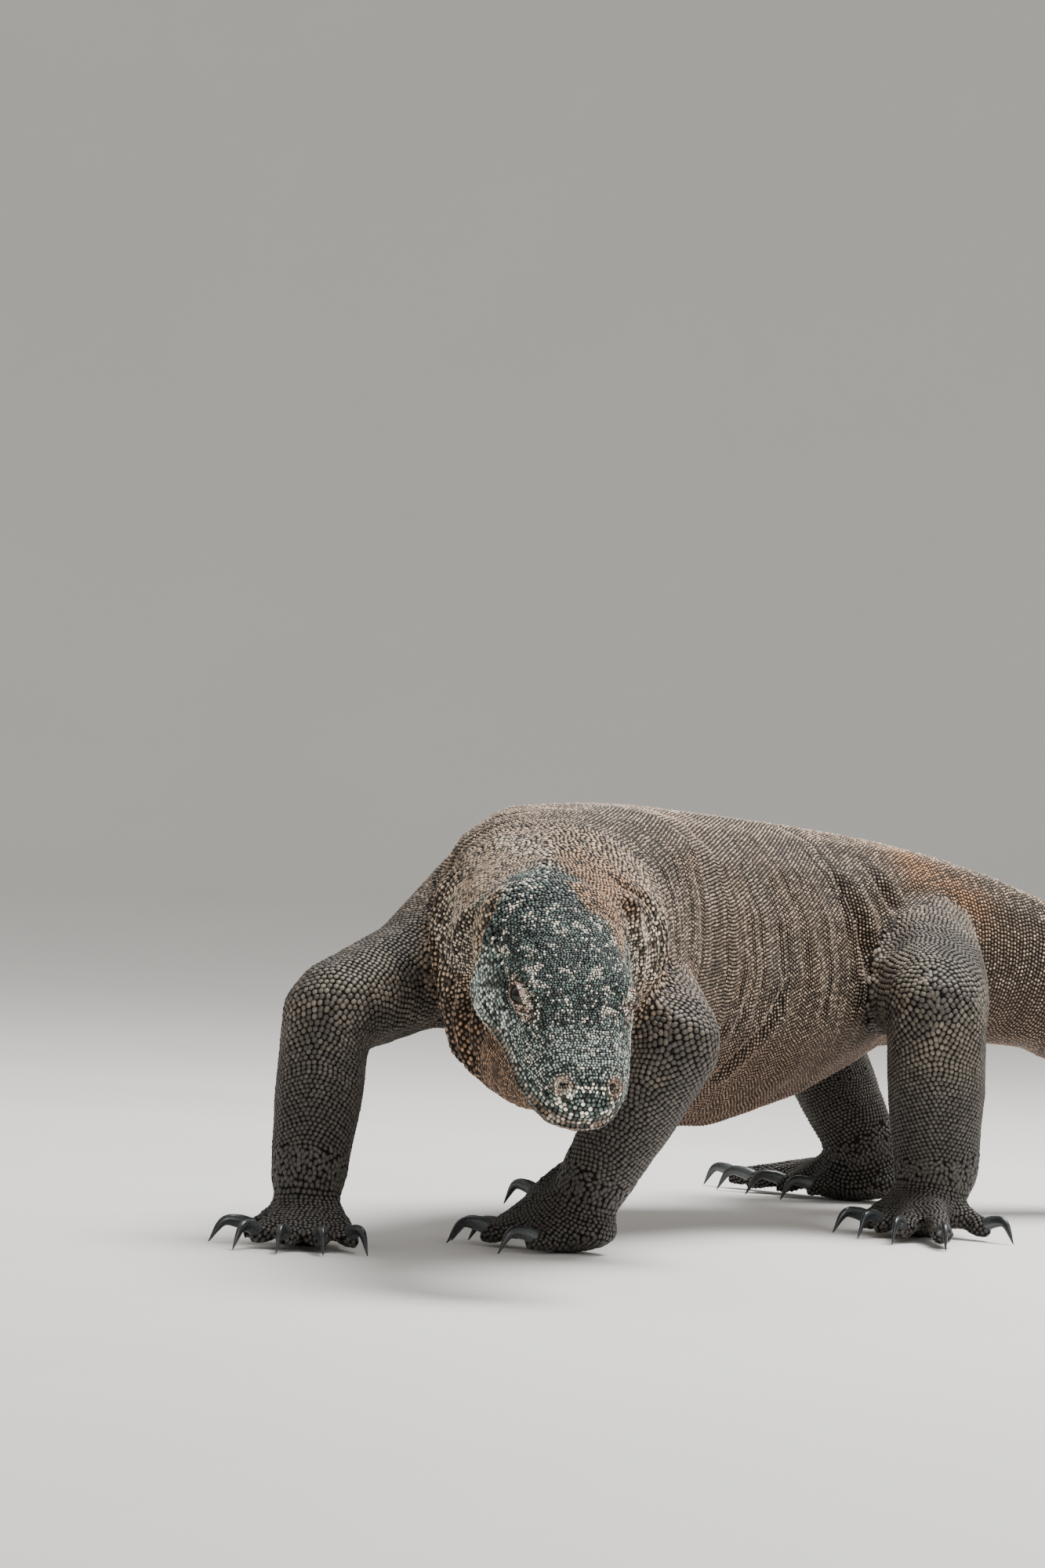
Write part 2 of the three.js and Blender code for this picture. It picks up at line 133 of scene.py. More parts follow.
def nearest_of(places, centres):
    """How far each place is from the nearest of some centres."""
    return np.min([np.linalg.norm(places - one, axis=1) for one in centres], axis=0)


def eye_outward(side):
    """The way out of the head through the opening between the lids."""
    return unit(0.84 * side * HEAD_SIDE + 0.5 * HEAD_UP + 0.2 * HEAD_AHEAD)


def round_eye(places, side):
    """Places seen from an eye, in millimetres: along the head, across it and outwards, and how many times
    further out than the edge of the opening between the lids they are."""
    outward = eye_outward(side)
    along = unit(HEAD_AHEAD - (HEAD_AHEAD @ outward) * outward)
    across = np.cross(along, outward) * side
    away = (places - EYES["eye_l" if side > 0 else "eye_r"]) / MM
    u, v, w = away @ along, away @ across, away @ outward
    return u, v, w, np.hypot(u / 8.2, v / 4.6)


def triangles_of(names):
    """The corners and triangles of some nodes together, and which node each triangle is from."""
    corners, triangles, owners = [], [], []
    count = 0
    for index, name in enumerate(names):
        mesh = NODES[name].data
        mesh.calc_loop_triangles()
        co = np.zeros(len(mesh.vertices) * 3)
        mesh.vertices.foreach_get("co", co)
        tri = np.zeros(len(mesh.loop_triangles) * 3, int)
        mesh.loop_triangles.foreach_get("vertices", tri)
        corners.append(co.reshape(-1, 3))
        triangles.append(tri.reshape(-1, 3) + count)
        owners += [index] * len(triangles[-1])
        count += len(corners[-1])
    return np.concatenate(corners), np.concatenate(triangles), np.array(owners)


def tree_of(names):
    corners, triangles, owners = triangles_of(names)
    return BVHTree.FromPolygons(corners.tolist(), triangles.tolist()), owners


def meeting(node, others, reach=1.2 * MM):
    """The middle of where a node meets its neighbours."""
    tree, _ = tree_of(others)
    corners, _, _ = triangles_of([node])
    near = [co for co in corners if tree.find_nearest(co.tolist())[3] < reach]
    return np.mean(near, axis=0)


class Axis:
    """A smooth line along the trunk or a leg. A place is located by its length along it and angle round it."""

    STEPS = 30

    def __init__(self, places, reference):
        p = np.array(places)
        p = np.vstack([2 * p[0] - p[1], p, 2 * p[-1] - p[-2]])
        t = np.linspace(0, 1, self.STEPS, endpoint=False)[:, None]
        spans = []
        for a, b, c, d in zip(p, p[1:], p[2:], p[3:]):
            square, cube = 2 * a - 5 * b + 4 * c - d, 3 * b - a - 3 * c + d
            spans.append(0.5 * (2 * b + (c - a) * t + square * t**2 + cube * t**3))
        self.points = np.vstack(spans + [p[-2:-1]])
        steps = np.linalg.norm(np.diff(self.points, axis=0), axis=1)
        self.length = np.concatenate([[0], np.cumsum(steps)])
        ahead = np.gradient(self.points, axis=0)
        self.ahead = ahead / np.linalg.norm(ahead, axis=1)[:, None]
        up = reference - (self.ahead @ reference)[:, None] * self.ahead
        self.up = up / np.linalg.norm(up, axis=1)[:, None]
        self.side = np.cross(self.ahead, self.up)

    def locate(self, places):
        along, angle, out = np.zeros((3, len(places)))
        for start in range(0, len(places), 4000):
            part = slice(start, start + 4000)
            away = places[part, None, :] - self.points[None]
            near = np.argmin((away**2).sum(2), axis=1)
            away = away[np.arange(len(near)), near]
            along[part] = self.length[near] + (away * self.ahead[near]).sum(1)
            rise = (away * self.up[near]).sum(1)
            left = (away * self.side[near]).sum(1)
            angle[part] = np.arctan2(left, rise)
            out[part] = np.hypot(left, rise)
        return along, angle, out


# ---------------------------------------------------------------- meshes as arrays


def mesh_from(bm, name):
    mesh = bpy.data.meshes.new(name)
    bm.to_mesh(mesh)
    bm.free()
    return mesh


def linked(name, data):
    """A new object in the scene."""
    made = bpy.data.objects.new(name, data)
    bpy.context.scene.collection.objects.link(made)
    return made


def arrays_of(mesh):
    co = np.zeros(len(mesh.vertices) * 3)
    mesh.vertices.foreach_get("co", co)
    mesh.calc_loop_triangles()
    tri = np.zeros(len(mesh.loop_triangles) * 3, int)
    mesh.loop_triangles.foreach_get("vertices", tri)
    return co.reshape(-1, 3), tri.reshape(-1, 3)


def edges_of(mesh):
    edges = np.zeros(len(mesh.edges) * 2, int)
    mesh.edges.foreach_get("vertices", edges)
    return edges.reshape(-1, 2)


def gathered(values, index, count):
    """Sums the rows of values that share an index."""
    columns = values.reshape(len(values), -1)
    return np.stack([np.bincount(index, c, minlength=count) for c in columns.T], axis=1)


def smoothed(values, edges, rounds, strength=0.5):
    """Values drawn towards their neighbours' mean. Strength may be a number or one for each vertex."""
    values = values.reshape(len(values), -1).astype(float)
    ends = np.concatenate([edges[:, 0], edges[:, 1]])
    others = np.concatenate([edges[:, 1], edges[:, 0]])
    degree = np.maximum(np.bincount(ends, minlength=len(values)), 1)[:, None]
    strength = np.reshape(strength, (-1, 1))
    for _ in range(rounds):
        values = values + strength * (gathered(values[others], ends, len(values)) / degree - values)
    return values


def rounded(co, edges, rounds, amount):
    """Smooths away facets without shrinking."""
    for _ in range(rounds):
        co = smoothed(co, edges, 1, 0.55 * amount)
        co = smoothed(co, edges, 1, -0.57 * amount)
    return co


def normals_of(co, tri):
    a, b, c = co[tri[:, 0]], co[tri[:, 1]], co[tri[:, 2]]
    face = np.cross(b - a, c - a)
    total = gathered(np.repeat(face, 3, axis=0), tri.ravel(), len(co))
    return total / np.maximum(np.linalg.norm(total, axis=1), 1e-12)[:, None]


def ease(x, start, end):
    """A smooth step from 0 at start to 1 at end."""
    t = np.clip((x - start) / (end - start), 0, 1)
    return t * t * (3 - 2 * t)


def bump(x, width):
    return np.exp(-((x / width) ** 2))


def speckle(places, size, seed=0.0):
    """A smooth random number from about -1 to 1 at each place, changing over the given size."""
    return np.array([noise.noise(Vector((p / size + seed).tolist())) for p in places])


def keep(mesh, name, values, kind="FLOAT"):
    """Stores a value for each vertex."""
    layer = mesh.attributes.get(name) or mesh.attributes.new(name, kind, "POINT")
    key = {"FLOAT": "value", "INT": "value", "FLOAT_VECTOR": "vector"}[kind]
    layer.data.foreach_set(key, np.ascontiguousarray(values).ravel())


def kept(mesh, name, kind="FLOAT"):
    width = 3 if kind == "FLOAT_VECTOR" else 1
    values = np.zeros(len(mesh.vertices) * width, np.int32 if kind == "INT" else np.float32)
    mesh.attributes[name].data.foreach_get("vector" if width == 3 else "value", values)
    return values.reshape(-1, 3) if width == 3 else values


# ---------------------------------------------------------------- skin


def spine_axis():
    places = [meeting("neck", HEAD_NODES)]
    places += [meeting(a, [b]) for a, b in zip(TRUNK_NODES, TRUNK_NODES[1:])]
    corners, _, _ = triangles_of(["tail_4"])
    places.append(corners[np.argmax(np.linalg.norm(corners - places[-1], axis=1))])
    return Axis(places, np.array([0.0, 0, 1]))


# The side of the legs that the rows of scales are counted from.
LEG_FRONT = unit(np.array([0.5, -0.86, 0]))


def leg_joints(leg):
    upper, lower, hand = [f"{part}_{leg}" for part in LEGS[leg]]
    return [meeting(upper, TRUNK_NODES), meeting(upper, [lower]), meeting(lower, [hand])]


def leg_axis(leg):
    root, middle, end = leg_joints(leg)
    return Axis([root, (root + middle) / 2, middle, (middle + end) / 2, end], LEG_FRONT)


def fused_flesh(voxel):
    """One closed mesh of quads over all the nodes of flesh."""
    bm = bmesh.new()
    for name in FLESH:
        bm.from_mesh(NODES[name].data)
    bmesh.ops.remove_doubles(bm, verts=bm.verts, dist=1e-6)
    bm.normal_update()
    for v in bm.verts:
        v.co += v.normal * OVERLAP
    body = linked("flesh", mesh_from(bm, "flesh"))
    fuse = body.modifiers.new("Fuse", "REMESH")
    fuse.mode = "VOXEL"
    fuse.voxel_size = voxel
    fused = bpy.data.meshes.new_from_object(body.evaluated_get(bpy.context.evaluated_depsgraph_get()))
    bpy.data.objects.remove(body)
    return fused


def refined(mesh, wanted):
    """Halves the faces whose vertices are all wanted."""
    bm = bmesh.new()
    bm.from_mesh(mesh)
    edges = {e for f in bm.faces if all(wanted[v.index] for v in f.verts) for e in f.edges}
    bmesh.ops.subdivide_edges(bm, edges=list(edges), cuts=1, use_grid_fill=True)
    bm.to_mesh(mesh)
    bm.free()


class Surroundings:
    """What part of the animal each place is on."""

    def __init__(self):
        self.tree, triangle_owner = tree_of(FLESH)
        part = {name: TRUNK for name in TRUNK_NODES} | {name: HEAD for name in HEAD_NODES}
        for leg, (upper, lower, hand) in LEGS.items():
            part |= {f"{upper}_{leg}": LEG[leg], f"{lower}_{leg}": LEG[leg], f"{hand}_{leg}": HAND[leg]}
        self.part_of_triangle = np.array([part[FLESH[i]] for i in triangle_owner])
        self.spine = spine_axis()
        self.legs = {leg: leg_axis(leg) for leg in LEGS}
        self.wrists = {leg: leg_joints(leg)[2] for leg in LEGS}

    def part(self, co):
        nearest = [self.tree.find_nearest(place)[2] for place in co.tolist()]
        part = self.part_of_triangle[nearest]
        back, left, up = on_head(co)
        level = mouth_level(back)
        head = part == HEAD
        jaw_edge = np.interp(back, *JAW_EDGE)
        part[head & (up < jaw_edge) & (abs(left) < 60 * MM)] = THROAT
        part[head & (up < 22 * MM) & (up >= jaw_edge) & (back > 84 * MM)] = CHEEK
        upper = np.interp(back, [10 * MM, 24 * MM], [22 * MM, 10 * MM])
        part[head & (up - level > -7 * MM) & (up - level < upper) & (back < MOUTH_CORNER)] = LIP
        part[head & (nearest_of(co, EYES.values()) < 18 * MM)] = LID
        return part


def mouth_level(back):
    """How high the mouth line is at each distance back from the snout tip."""
    return np.interp(back, *MOUTH)


# The mouth line and the lower edge of the jaw: how high they are at lengths back from the snout tip.
MOUTH = (np.array([0, 15, 45, 90, 115, 160]) * MM, np.array([-9, -10, -12, -12, -17, -20]) * MM)
JAW_EDGE = (np.array([0, 20, 60, 100, 130, 160, 220]) * MM, np.array([-21, -26, -27, -30, -33, -34, -40]) * MM)


def creased(along, angle, out, fold):
    """How far a fold sinks or lifts each place. It runs between two places given by length and angle."""
    start, end, width, depth = fold
    a = np.stack([along, angle * out], axis=1)
    first = np.stack([np.full(len(along), start[0] * MM), math.radians(start[1]) * out], axis=1)
    last = np.stack([np.full(len(along), end[0] * MM), math.radians(end[1]) * out], axis=1)
    line = last - first
    t = np.clip(((a - first) * line).sum(1) / np.maximum((line**2).sum(1), 1e-12), 0, 1)
    away = np.linalg.norm(a - first - t[:, None] * line, axis=1)
    fade = ease(t, -0.05, 0.25) * ease(t, 1.05, 0.75)
    return MM * depth * fade * (0.5 * bump(away - 2.1 * width * MM, width * MM) - bump(away, width * MM))


# Folds of the trunk's hide: where each starts and ends, as length along the spine in millimetres and angle
# round it in degrees, positive to the left, then its width and depth in millimetres.
TRUNK_FOLDS = [
    ((104, 62), (126, 76), 7, 14),
    ((108, 58), (132, 84), 8, 8),
    ((132, 84), (168, 124), 7, 8),
    ((150, 46), (200, 64), 6, 5),
    ((196, 58), (243, 112), 8, 11),
    ((222, 60), (262, 100), 6, 5),
    ((262, 66), (290, 122), 7, 7),
    ((60, 60), (75, 120), 6, 6),
    ((28, -60), (78, -112), 8, 13),
    ((78, -104), (48, -156), 8, 13),
    ((104, -92), (116, -156), 6, 7),
    ((136, -98), (140, -156), 6, 6),
    ((150, -82), (164, -128), 7, 6),
    ((176, -100), (182, -150), 7, 7),
    ((205, -74), (214, -145), 7, 7),
    ((240, -70), (243, -120), 7, 5),
    ((285, -52), (264, -104), 9, 10),
    ((264, -96), (284, -146), 9, 9),
    ((330, -54), (322, -104), 9, 8),
    ((684, 94), (640, 118), 7, 8),
    ((646, 112), (596, 136), 7, 7),
    ((560, 108), (520, 140), 7, 5),
    ((600, 96), (575, 118), 6, 4),
    ((684, -96), (602, -133), 7, 5),
    ((866, 44), (905, 122), 11, 11),
    ((936, 36), (985, 84), 9, 6),
    ((866, -44), (905, -122), 11, 11),
]


def rib_folds():
    """The shallow upright folds down both flanks."""
    folds = []
    for side in (-1, 1):
        for index in range(23):
            start = 340 + 25 * index + 7 * math.sin(index * 5.7)
            top = side * (24 + 10 * math.sin(index * 2.3))
            foot = side * (104 + 16 * math.sin(index * 1.9))
            lower = start + 10 + 14 * math.sin(index * 1.7)
            width, depth = 6 + 1.5 * math.sin(index * 4.3), 1.7 + 0.9 * math.sin(index * 3.1)
            folds.append(((start, top), (lower, foot), width, depth))
    return folds


def shape_eye(co, side):
    """Draws the hide into lids round the eyeball, with the opening between them, under a brow."""
    u, v, w, spread = round_eye(co, side)
    near = (np.hypot(u, v) < 26) & (w > -4)
    lid = np.sqrt(np.maximum((EYE_RADIUS + 1.0) ** 2 - u**2 - v**2, 2))
    lid = lid + 0.9 * bump(spread - 1.17, 0.16) - 1.8 * bump(spread - 1.6, 0.18) + 0.8 * bump(spread - 2.05, 0.2)
    lid = lid - 1.6 * bump(spread - 2.5, 0.2) - 14 * ease(spread, 1.0, 0.84)
    share = ease(spread, 3.3, 2.1) * near
    lift = share * (lid - w)
    brow = v - 11.5 - 0.1 * u
    lift += near * (5.5 * bump(brow - 3.5, 3.6) * bump(u, 15) - 2.2 * bump(brow + 2, 2.2) * bump(u, 12))
    return co + (lift * MM)[:, None] * eye_outward(side)


def shape_head(co, normals):
    """Sinks the nostrils, the mouth line, the ears and the folds round the jaw into the head."""
    back, left, up = on_head(co)
    back, left, up = back / MM, left / MM, up / MM
    lift = np.zeros(len(co))
    nostril = nearest_of(co, NOSTRILS) / MM
    lift += 2.0 * bump(nostril - 8.6, 2.6) - 10 * ease(nostril, 7.0, 3.4)
    ridge = abs(abs(left) - np.interp(back, [15, 60, 95], [20, 27, 40]))
    lift += 2.6 * bump(ridge, 5.5) * (up > 5) * ease(back, 24, 36) * ease(back, 98, 84)
    lift -= 2.2 * bump(left, 13) * (up > 5) * ease(back, 22, 40) * ease(back, 110, 80)
    lift -= 2.4 * bump(np.hypot((back - 78) / 15, (up - 14) / 9), 1.0) * (abs(left) > 20)
    lift -= 2.0 * bump(np.hypot((back - 140) / 16, (up - 26) / 9), 1.0) * (abs(left) > 30)
    lift += 1.6 * bump(np.hypot((back - 128) / 20, (abs(left) - 20) / 9), 1.0) * (up > 20)
    lift += 0.8 * speckle(co, 0.012, 21.0) + 0.5 * speckle(co, 0.006, 31.0)
    for start, height in ((60, 1.6), (72, 1.3), (86, 1.5), (49, 1.0)):
        wrinkle = back - start - 0.35 * (up - 16)
        lift -= height * bump(wrinkle, 2.2) * bump(up - 18, 11) * (abs(left) > 20)
    ear = np.hypot((back - 182) / 8, (up - 4) / 12)
    lift += (abs(left) > 30) * (0.8 * bump(ear - 1.25, 0.25) - 3.6 * ease(ear, 1.05, 0.6))
    from_mouth = up - mouth_level(back * MM) / MM
    mouth = ease(back, MOUTH_CORNER / MM + 6, MOUTH_CORNER / MM - 8) * (back > -20)
    lift += mouth * (1.3 * bump(abs(from_mouth) - 4.6, 2.6) - 3.6 * bump(from_mouth, 1.3))
    jaw = back - np.interp(up, [-34, -14, 5, 20, 40], [152, 166, 174, 186, 212])
    lift += ease(up, 38, 12) * (up > -60) * (2.2 * bump(jaw + 9, 6) - 6.5 * bump(jaw - 2, 5.5))
    for index in range(7):
        line = back - (40 + 22 * index) + 0.22 * abs(left)
        lift -= ease(up, -34, -48) * 1.3 * bump(line, 3)
    return co + (lift * MM)[:, None] * normals


def unwrapped(around, part, co, normals):
    """Lays the hide out flat: which sheet each place is on, and its place there in metres."""
    sheet, x, y = part * 2, np.zeros(len(co)), np.zeros(len(co))
    trunk = part == TRUNK
    along, angle, _ = around.spine.locate(co[trunk])
    x[trunk], y[trunk] = angle * np.interp(along, *TRUNK_GIRTH), along
    back, left, up = on_head(co)
    head = is_head(part)
    sheet[head] = HEAD * 2
    x[head] = np.arctan2(left, up + 10 * MM)[head] * 60 * MM
    y[head] = (back + 40 * MM - np.hypot(left, up))[head] * 0.5 + back[head]
    for leg in LEGS:
        on_leg = part == LEG[leg]
        along, angle, _ = around.legs[leg].locate(co[on_leg])
        x[on_leg], y[on_leg] = angle * 50 * MM, along
        on_hand = part == HAND[leg]
        x[on_hand], y[on_hand] = co[on_hand, 0], co[on_hand, 1]
        sheet[on_hand & (normals[:, 2] < 0)] += 1
    return sheet, x, y


def laid_out(sheet, x, y):
    """Packs the sheets into a square, side by side in a grid."""
    sheets = np.unique(sheet)
    across = math.ceil(math.sqrt(len(sheets)))
    uv = np.zeros((len(x), 2))
    for index, one in enumerate(sheets):
        here = sheet == one
        for axis, (values, cell) in enumerate([(x, index % across), (y, index // across)]):
            low, high = values[here].min(), values[here].max()
            uv[here, axis] = (cell + 0.03 + 0.94 * (values[here] - low) / max(high - low, 1e-6)) / across
    return uv


# ---------------------------------------------------------------- rows of scales


def slopes_of(rows, co, tri):
    """How fast the row number rises over the hide at each vertex, and which way."""
    p, f = co[tri], rows[tri]
    first, second = p[:, 1] - p[:, 0], p[:, 2] - p[:, 0]
    across = np.cross(first, second)
    area = np.maximum((across**2).sum(1), 1e-24)[:, None]
    rise = (f[:, 1:] - f[:, :1])[:, :, None]
    slope = rise[:, 0] * np.cross(second, across) + rise[:, 1] * np.cross(across, first)
    weight = np.sqrt(area)
    slope = np.hstack([slope / area * weight, weight])
    total = gathered(np.repeat(slope, 3, axis=0), tri.ravel(), len(co))
    return total[:, :3] / np.maximum(total[:, 3:], 1e-15)


def crossings(rows, tri):
    """Where whole-numbered rows cross the triangles: segments between points on edges.

    Gives each point's two vertices, its share of the way between them and its row, and the segments."""
    f = rows[tri]
    low = np.ceil(f.min(1)).astype(int)
    count = np.maximum(np.ceil(f.max(1)).astype(int) - low, 0)
    which = np.repeat(np.arange(len(tri)), count)
    row = low[which] + np.arange(len(which)) - np.repeat(np.cumsum(count) - count, count)
    above = f[which] > row[:, None]
    corners = tri[which]
    ends = []
    for one, two in ((0, 1), (1, 2), (2, 0)):
        a, b = corners[:, one], corners[:, two]
        cut = (above[:, one] != above[:, two])[:, None]
        ends.append(np.where(cut, np.stack([np.minimum(a, b), np.maximum(a, b)], 1), -1))
    ends = np.stack(ends, 1)
    crossed = ends[:, :, 0] >= 0
    two_each = crossed.sum(1) == 2
    pairs = ends[two_each][crossed[two_each]].reshape(-1, 2, 2)
    size = len(rows)
    row = row[two_each]
    key = ((row - row.min())[:, None] * size + pairs[:, :, 0]) * size + pairs[:, :, 1]
    points, index = np.unique(key.ravel(), return_inverse=True)
    segments = index.reshape(-1, 2)
    first, second = points // size % size, points % size
    number = points // size // size + row.min()
    share = (number - rows[first]) / (rows[second] - rows[first])
    return first, second, np.clip(share, 0, 1), number, segments


def chains(segments, count):
    """Strings the segments into open and closed chains of points."""
    links = [[] for _ in range(count)]
    for a, b in segments.tolist():
        if a != b:
            links[a].append(b)
            links[b].append(a)
    used = bytearray(count)
    starts = [i for i in range(count) if len(links[i]) == 1] + list(range(count))
    found = []
    for start in starts:
        if used[start] or not links[start]:
            continue
        chain, here = [start], start
        used[start] = 1
        while True:
            onward = [n for n in links[here] if not used[n]]
            if not onward:
                break
            here = onward[0]
            used[here] = 1
            chain.append(here)
        closed = len(chain) > 2 and chain[0] in links[here]
        if len(chain) > 1:
            found.append((chain, closed))
    return found


def seeds_along(values, chain, closed, row):
    """Evenly spaced seeds along a row, counted both ways from the chain's front, odd rows shifted by half."""
    line = values[chain + chain[:1]] if closed else values[chain]
    if closed:
        front = int(np.argmax(values[chain, FRONT]))
        middle = (front + len(chain) // 2) % len(chain)
        line = np.vstack([line[middle:-1], line[: middle + 1]])
    steps = np.linalg.norm(np.diff(line[:, :3], axis=0), axis=1)
    sizes = (line[1:, SIZE] + line[:-1, SIZE]) / 2
    counted = np.concatenate([[0], np.cumsum(steps / sizes)])
    counted -= counted[np.argmax(line[:, FRONT])]
    shift = 0.5 * (row % 2)
    wanted = np.arange(math.ceil(counted[0] + 0.35 - shift), math.floor(counted[-1] - 0.35 - shift) + 1) + shift
    if not len(wanted):
        return line[:0]
    after = np.clip(np.searchsorted(counted, wanted), 1, len(counted) - 1)
    share = (wanted - counted[after - 1]) / np.maximum(counted[after] - counted[after - 1], 1e-9)
    return line[after - 1] + np.clip(share, 0, 1)[:, None] * (line[after] - line[after - 1])


# Columns of the values that seeds carry: place, normal, slope of the rows, size, nearness to the row's front and
# whether the row is a raised one.
PLACE, NORMAL, SLOPE, SIZE, FRONT, RAISED, FIRST_MARK = slice(0, 3), slice(3, 6), slice(6, 9), 9, 10, 11, 12


def seed_tree(values):
    tree = KDTree(len(values))
    for index, place in enumerate(values[:, PLACE].tolist()):
        tree.insert(place, index)
    tree.balance()
    return tree


def spaced(values, share):
    """Drops every seed that lies closer to an earlier one than a share of its size."""
    tree = seed_tree(values)
    dropped = bytearray(len(values))
    for index, (place, size) in enumerate(zip(values[:, PLACE].tolist(), values[:, SIZE].tolist())):
        if dropped[index]:
            continue
        for _, other, _ in tree.find_range(place, size * share):
            if other > index:
                dropped[other] = 1
    return values[np.frombuffer(dropped, np.uint8) == 0]


def gaps(values, vertices, share):
    """The vertices that lie further than a share of their size from every seed."""
    tree = seed_tree(values)
    limit = (vertices[:, SIZE] * share).tolist()
    far = [tree.find(place)[2] > size for place, size in zip(vertices[:, PLACE].tolist(), limit)]
    return vertices[np.array(far)]


# ---------------------------------------------------------------- markings

MARKS = {
    "marks_head": ("head", "cheek", "throat"),
    "marks_face": ("ring", "lip", "nostril"),
    "marks_body": ("nape", "ochre", "belly"),
    "marks_limb": ("limb", "hand", "tail"),
}


def lid_ring(co, side):
    """The pinkish ring of the lids, longest towards the snout."""
    u, v, w, _ = round_eye(co, side)
    return ease(np.hypot((u - 2) / 21, (v + 0.8) / 8.5), 1.25, 0.85) * (w > -10)


def marks_of(around, part, co, edges):
    """How strongly each marking shows at each vertex, as three columns for each of the four layers."""
    back, left, up = on_head(co)
    back, left, up = back / MM, left / MM, up / MM
    along, angle, _ = around.spine.locate(co)
    along, angle = along / MM, np.degrees(angle)
    turned = abs(angle)
    trunk = part == TRUNK
    on_head_part = is_head(part)
    mouth = up - mouth_level(back * MM) / MM
    uneven = 14 * speckle(co, 0.02, 5.0)
    aside = np.where(angle > 2, 2.4 * (angle - 2), 1.7 * (2 - angle))
    upper = ease(along + aside + 1.4 * uneven, 150, 118) * trunk
    jaw_back = np.interp(up, [-34, -14, 5, 20, 40], [150, 160, 166, 180, 212])
    crown_back = np.interp(left, [-60, -43, 4, 10, 16, 36, 44, 54], [194, 221, 236, 215, 188, 170, 148, 112])
    crown = ease(up, 18, 36)
    behind = back - crown * crown_back - (1 - crown) * jaw_back
    legs = np.ones(len(co))  # the legs take the trunk's colours at the shoulder and hip
    for leg in LEGS:
        own = part == LEG[leg]
        legs[own] = ease(around.legs[leg].locate(co[own])[0] / MM, -35, 85)
    # Cream of the nape and neck. Painted light: on the neck's sides, from 45 to 80 degrees round, the mark is raised to
    # full strength to lift the shade that the overhead light leaves there.
    cream_and_painted_side_light = (0.8 + 0.2 * ease(turned, 45, 80)) * trunk * ease(along, 400, 240) * ease(turned, 140, 100)
    mark = {
        "head": np.where(on_head_part & (part != THROAT), ease(behind + uneven * 0.5, 4, -4), upper),
        "cheek": on_head_part
        * (part != THROAT)
        * np.maximum(ease(up, 20, 4) * ease(back, 40, 90), 0.5 * ease(back, 75, 50) * ease(back, 12, 28)),
        "throat": (part == THROAT) * 1.0 + trunk * ease(turned, 118, 142) * ease(along, 170, 60),
        "ring": np.max([lid_ring(co, side) for side in (-1, 1)], axis=0),
        "lip": on_head_part * ease(back, 120, 95) * ease(mouth, 7 + 6 * ease(back, 25, 5), 3)
        * (mouth > -60) * (back < 130),
        "nostril": ease(nearest_of(co, NOSTRILS) / MM, 11.5, 7),
        "nape": np.where(on_head_part, (part != THROAT) * 0.8, cream_and_painted_side_light)
        + 0.35 * trunk * bump(angle + 0.2 * (along - 150), 9) * ease(along, 150, 180) * ease(along, 340, 290),
        "ochre": (trunk | (part == HEAD)) * (
            0.85 * ease(angle, 0, 18) * ease(angle, 84, 54) * ease(along, 270, 140)
            + 1.3 * bump(along - 1034, 30) * bump(angle - 32, 16)
            + 1.3 * bump(along - 1090, 34) * bump(angle - 50, 20)
            + 0.7 * bump(along - 1060, 50) * bump(angle + 42, 20)
        ),
        "belly": trunk * ease(turned, 98, 130),
        "limb": legs * (part >= FIRST_LEG),
        # The feet's dark colour also reaches up the legs, stronger the nearer they come to the ground.
        "hand": np.where(part >= FIRST_HAND, 1.0, 0.8 * (part >= FIRST_LEG) * ease(co[:, 2], 0.23, 0.12)),
        "tail": trunk * ease(along, 1250, 1700),
    }
    columns = np.stack([mark[name] for names in MARKS.values() for name in names], axis=1)
    columns = np.clip(columns, 0, 1)
    soft = smoothed(columns, edges, 8)
    hard = on_head_part[:, None] & (np.arange(12) < 6)[None]
    return np.where(hard, smoothed(columns, edges, 2), soft)


# ---------------------------------------------------------------- shader nodes


class Nodes:
    """Adds nodes to a material or a node group. A socket, a number, or a colour may feed any input."""

    def __init__(self, tree):
        self.tree = tree

    def add(self, kind, inputs=(), output=0, **settings):
        node = self.tree.nodes.new(kind)
        for name, value in settings.items():
            setattr(node, name, value)
        for key, value in dict(inputs).items():
            self.feed(node.inputs[key], value)
        return node.outputs[output]

    def feed(self, socket, value):
        if isinstance(value, bpy.types.NodeSocket):
            self.tree.links.new(value, socket)
        else:
            socket.default_value = value

    def maths(self, operation, a, b=0.0, c=0.0, clamp=False):
        return self.add("ShaderNodeMath", {0: a, 1: b, 2: c}, operation=operation, use_clamp=clamp)

    def mix(self, share, a, b, blend="MIX"):
        return self.add("ShaderNodeMix", {0: share, 6: a, 7: b}, output=2, data_type="RGBA", blend_type=blend)

    def step(self, value, start, end, low=0.0, high=1.0):
        inputs = {0: value, 1: start, 2: end, 3: low, 4: high}
        return self.add("ShaderNodeMapRange", inputs, interpolation_type="SMOOTHSTEP")

    def noise(self, place, size, detail=2.0, roughness=0.5):
        inputs = {"Vector": place, "Scale": 1 / size, "Detail": detail, "Roughness": roughness}
        return self.add("ShaderNodeTexNoise", inputs)

    def parts(self, vector):
        node = self.tree.nodes.new("ShaderNodeSeparateXYZ")
        self.feed(node.inputs[0], vector)
        return node.outputs

    def attribute(self, name, output="Fac"):
        return self.add("ShaderNodeAttribute", output=output, attribute_name=name)


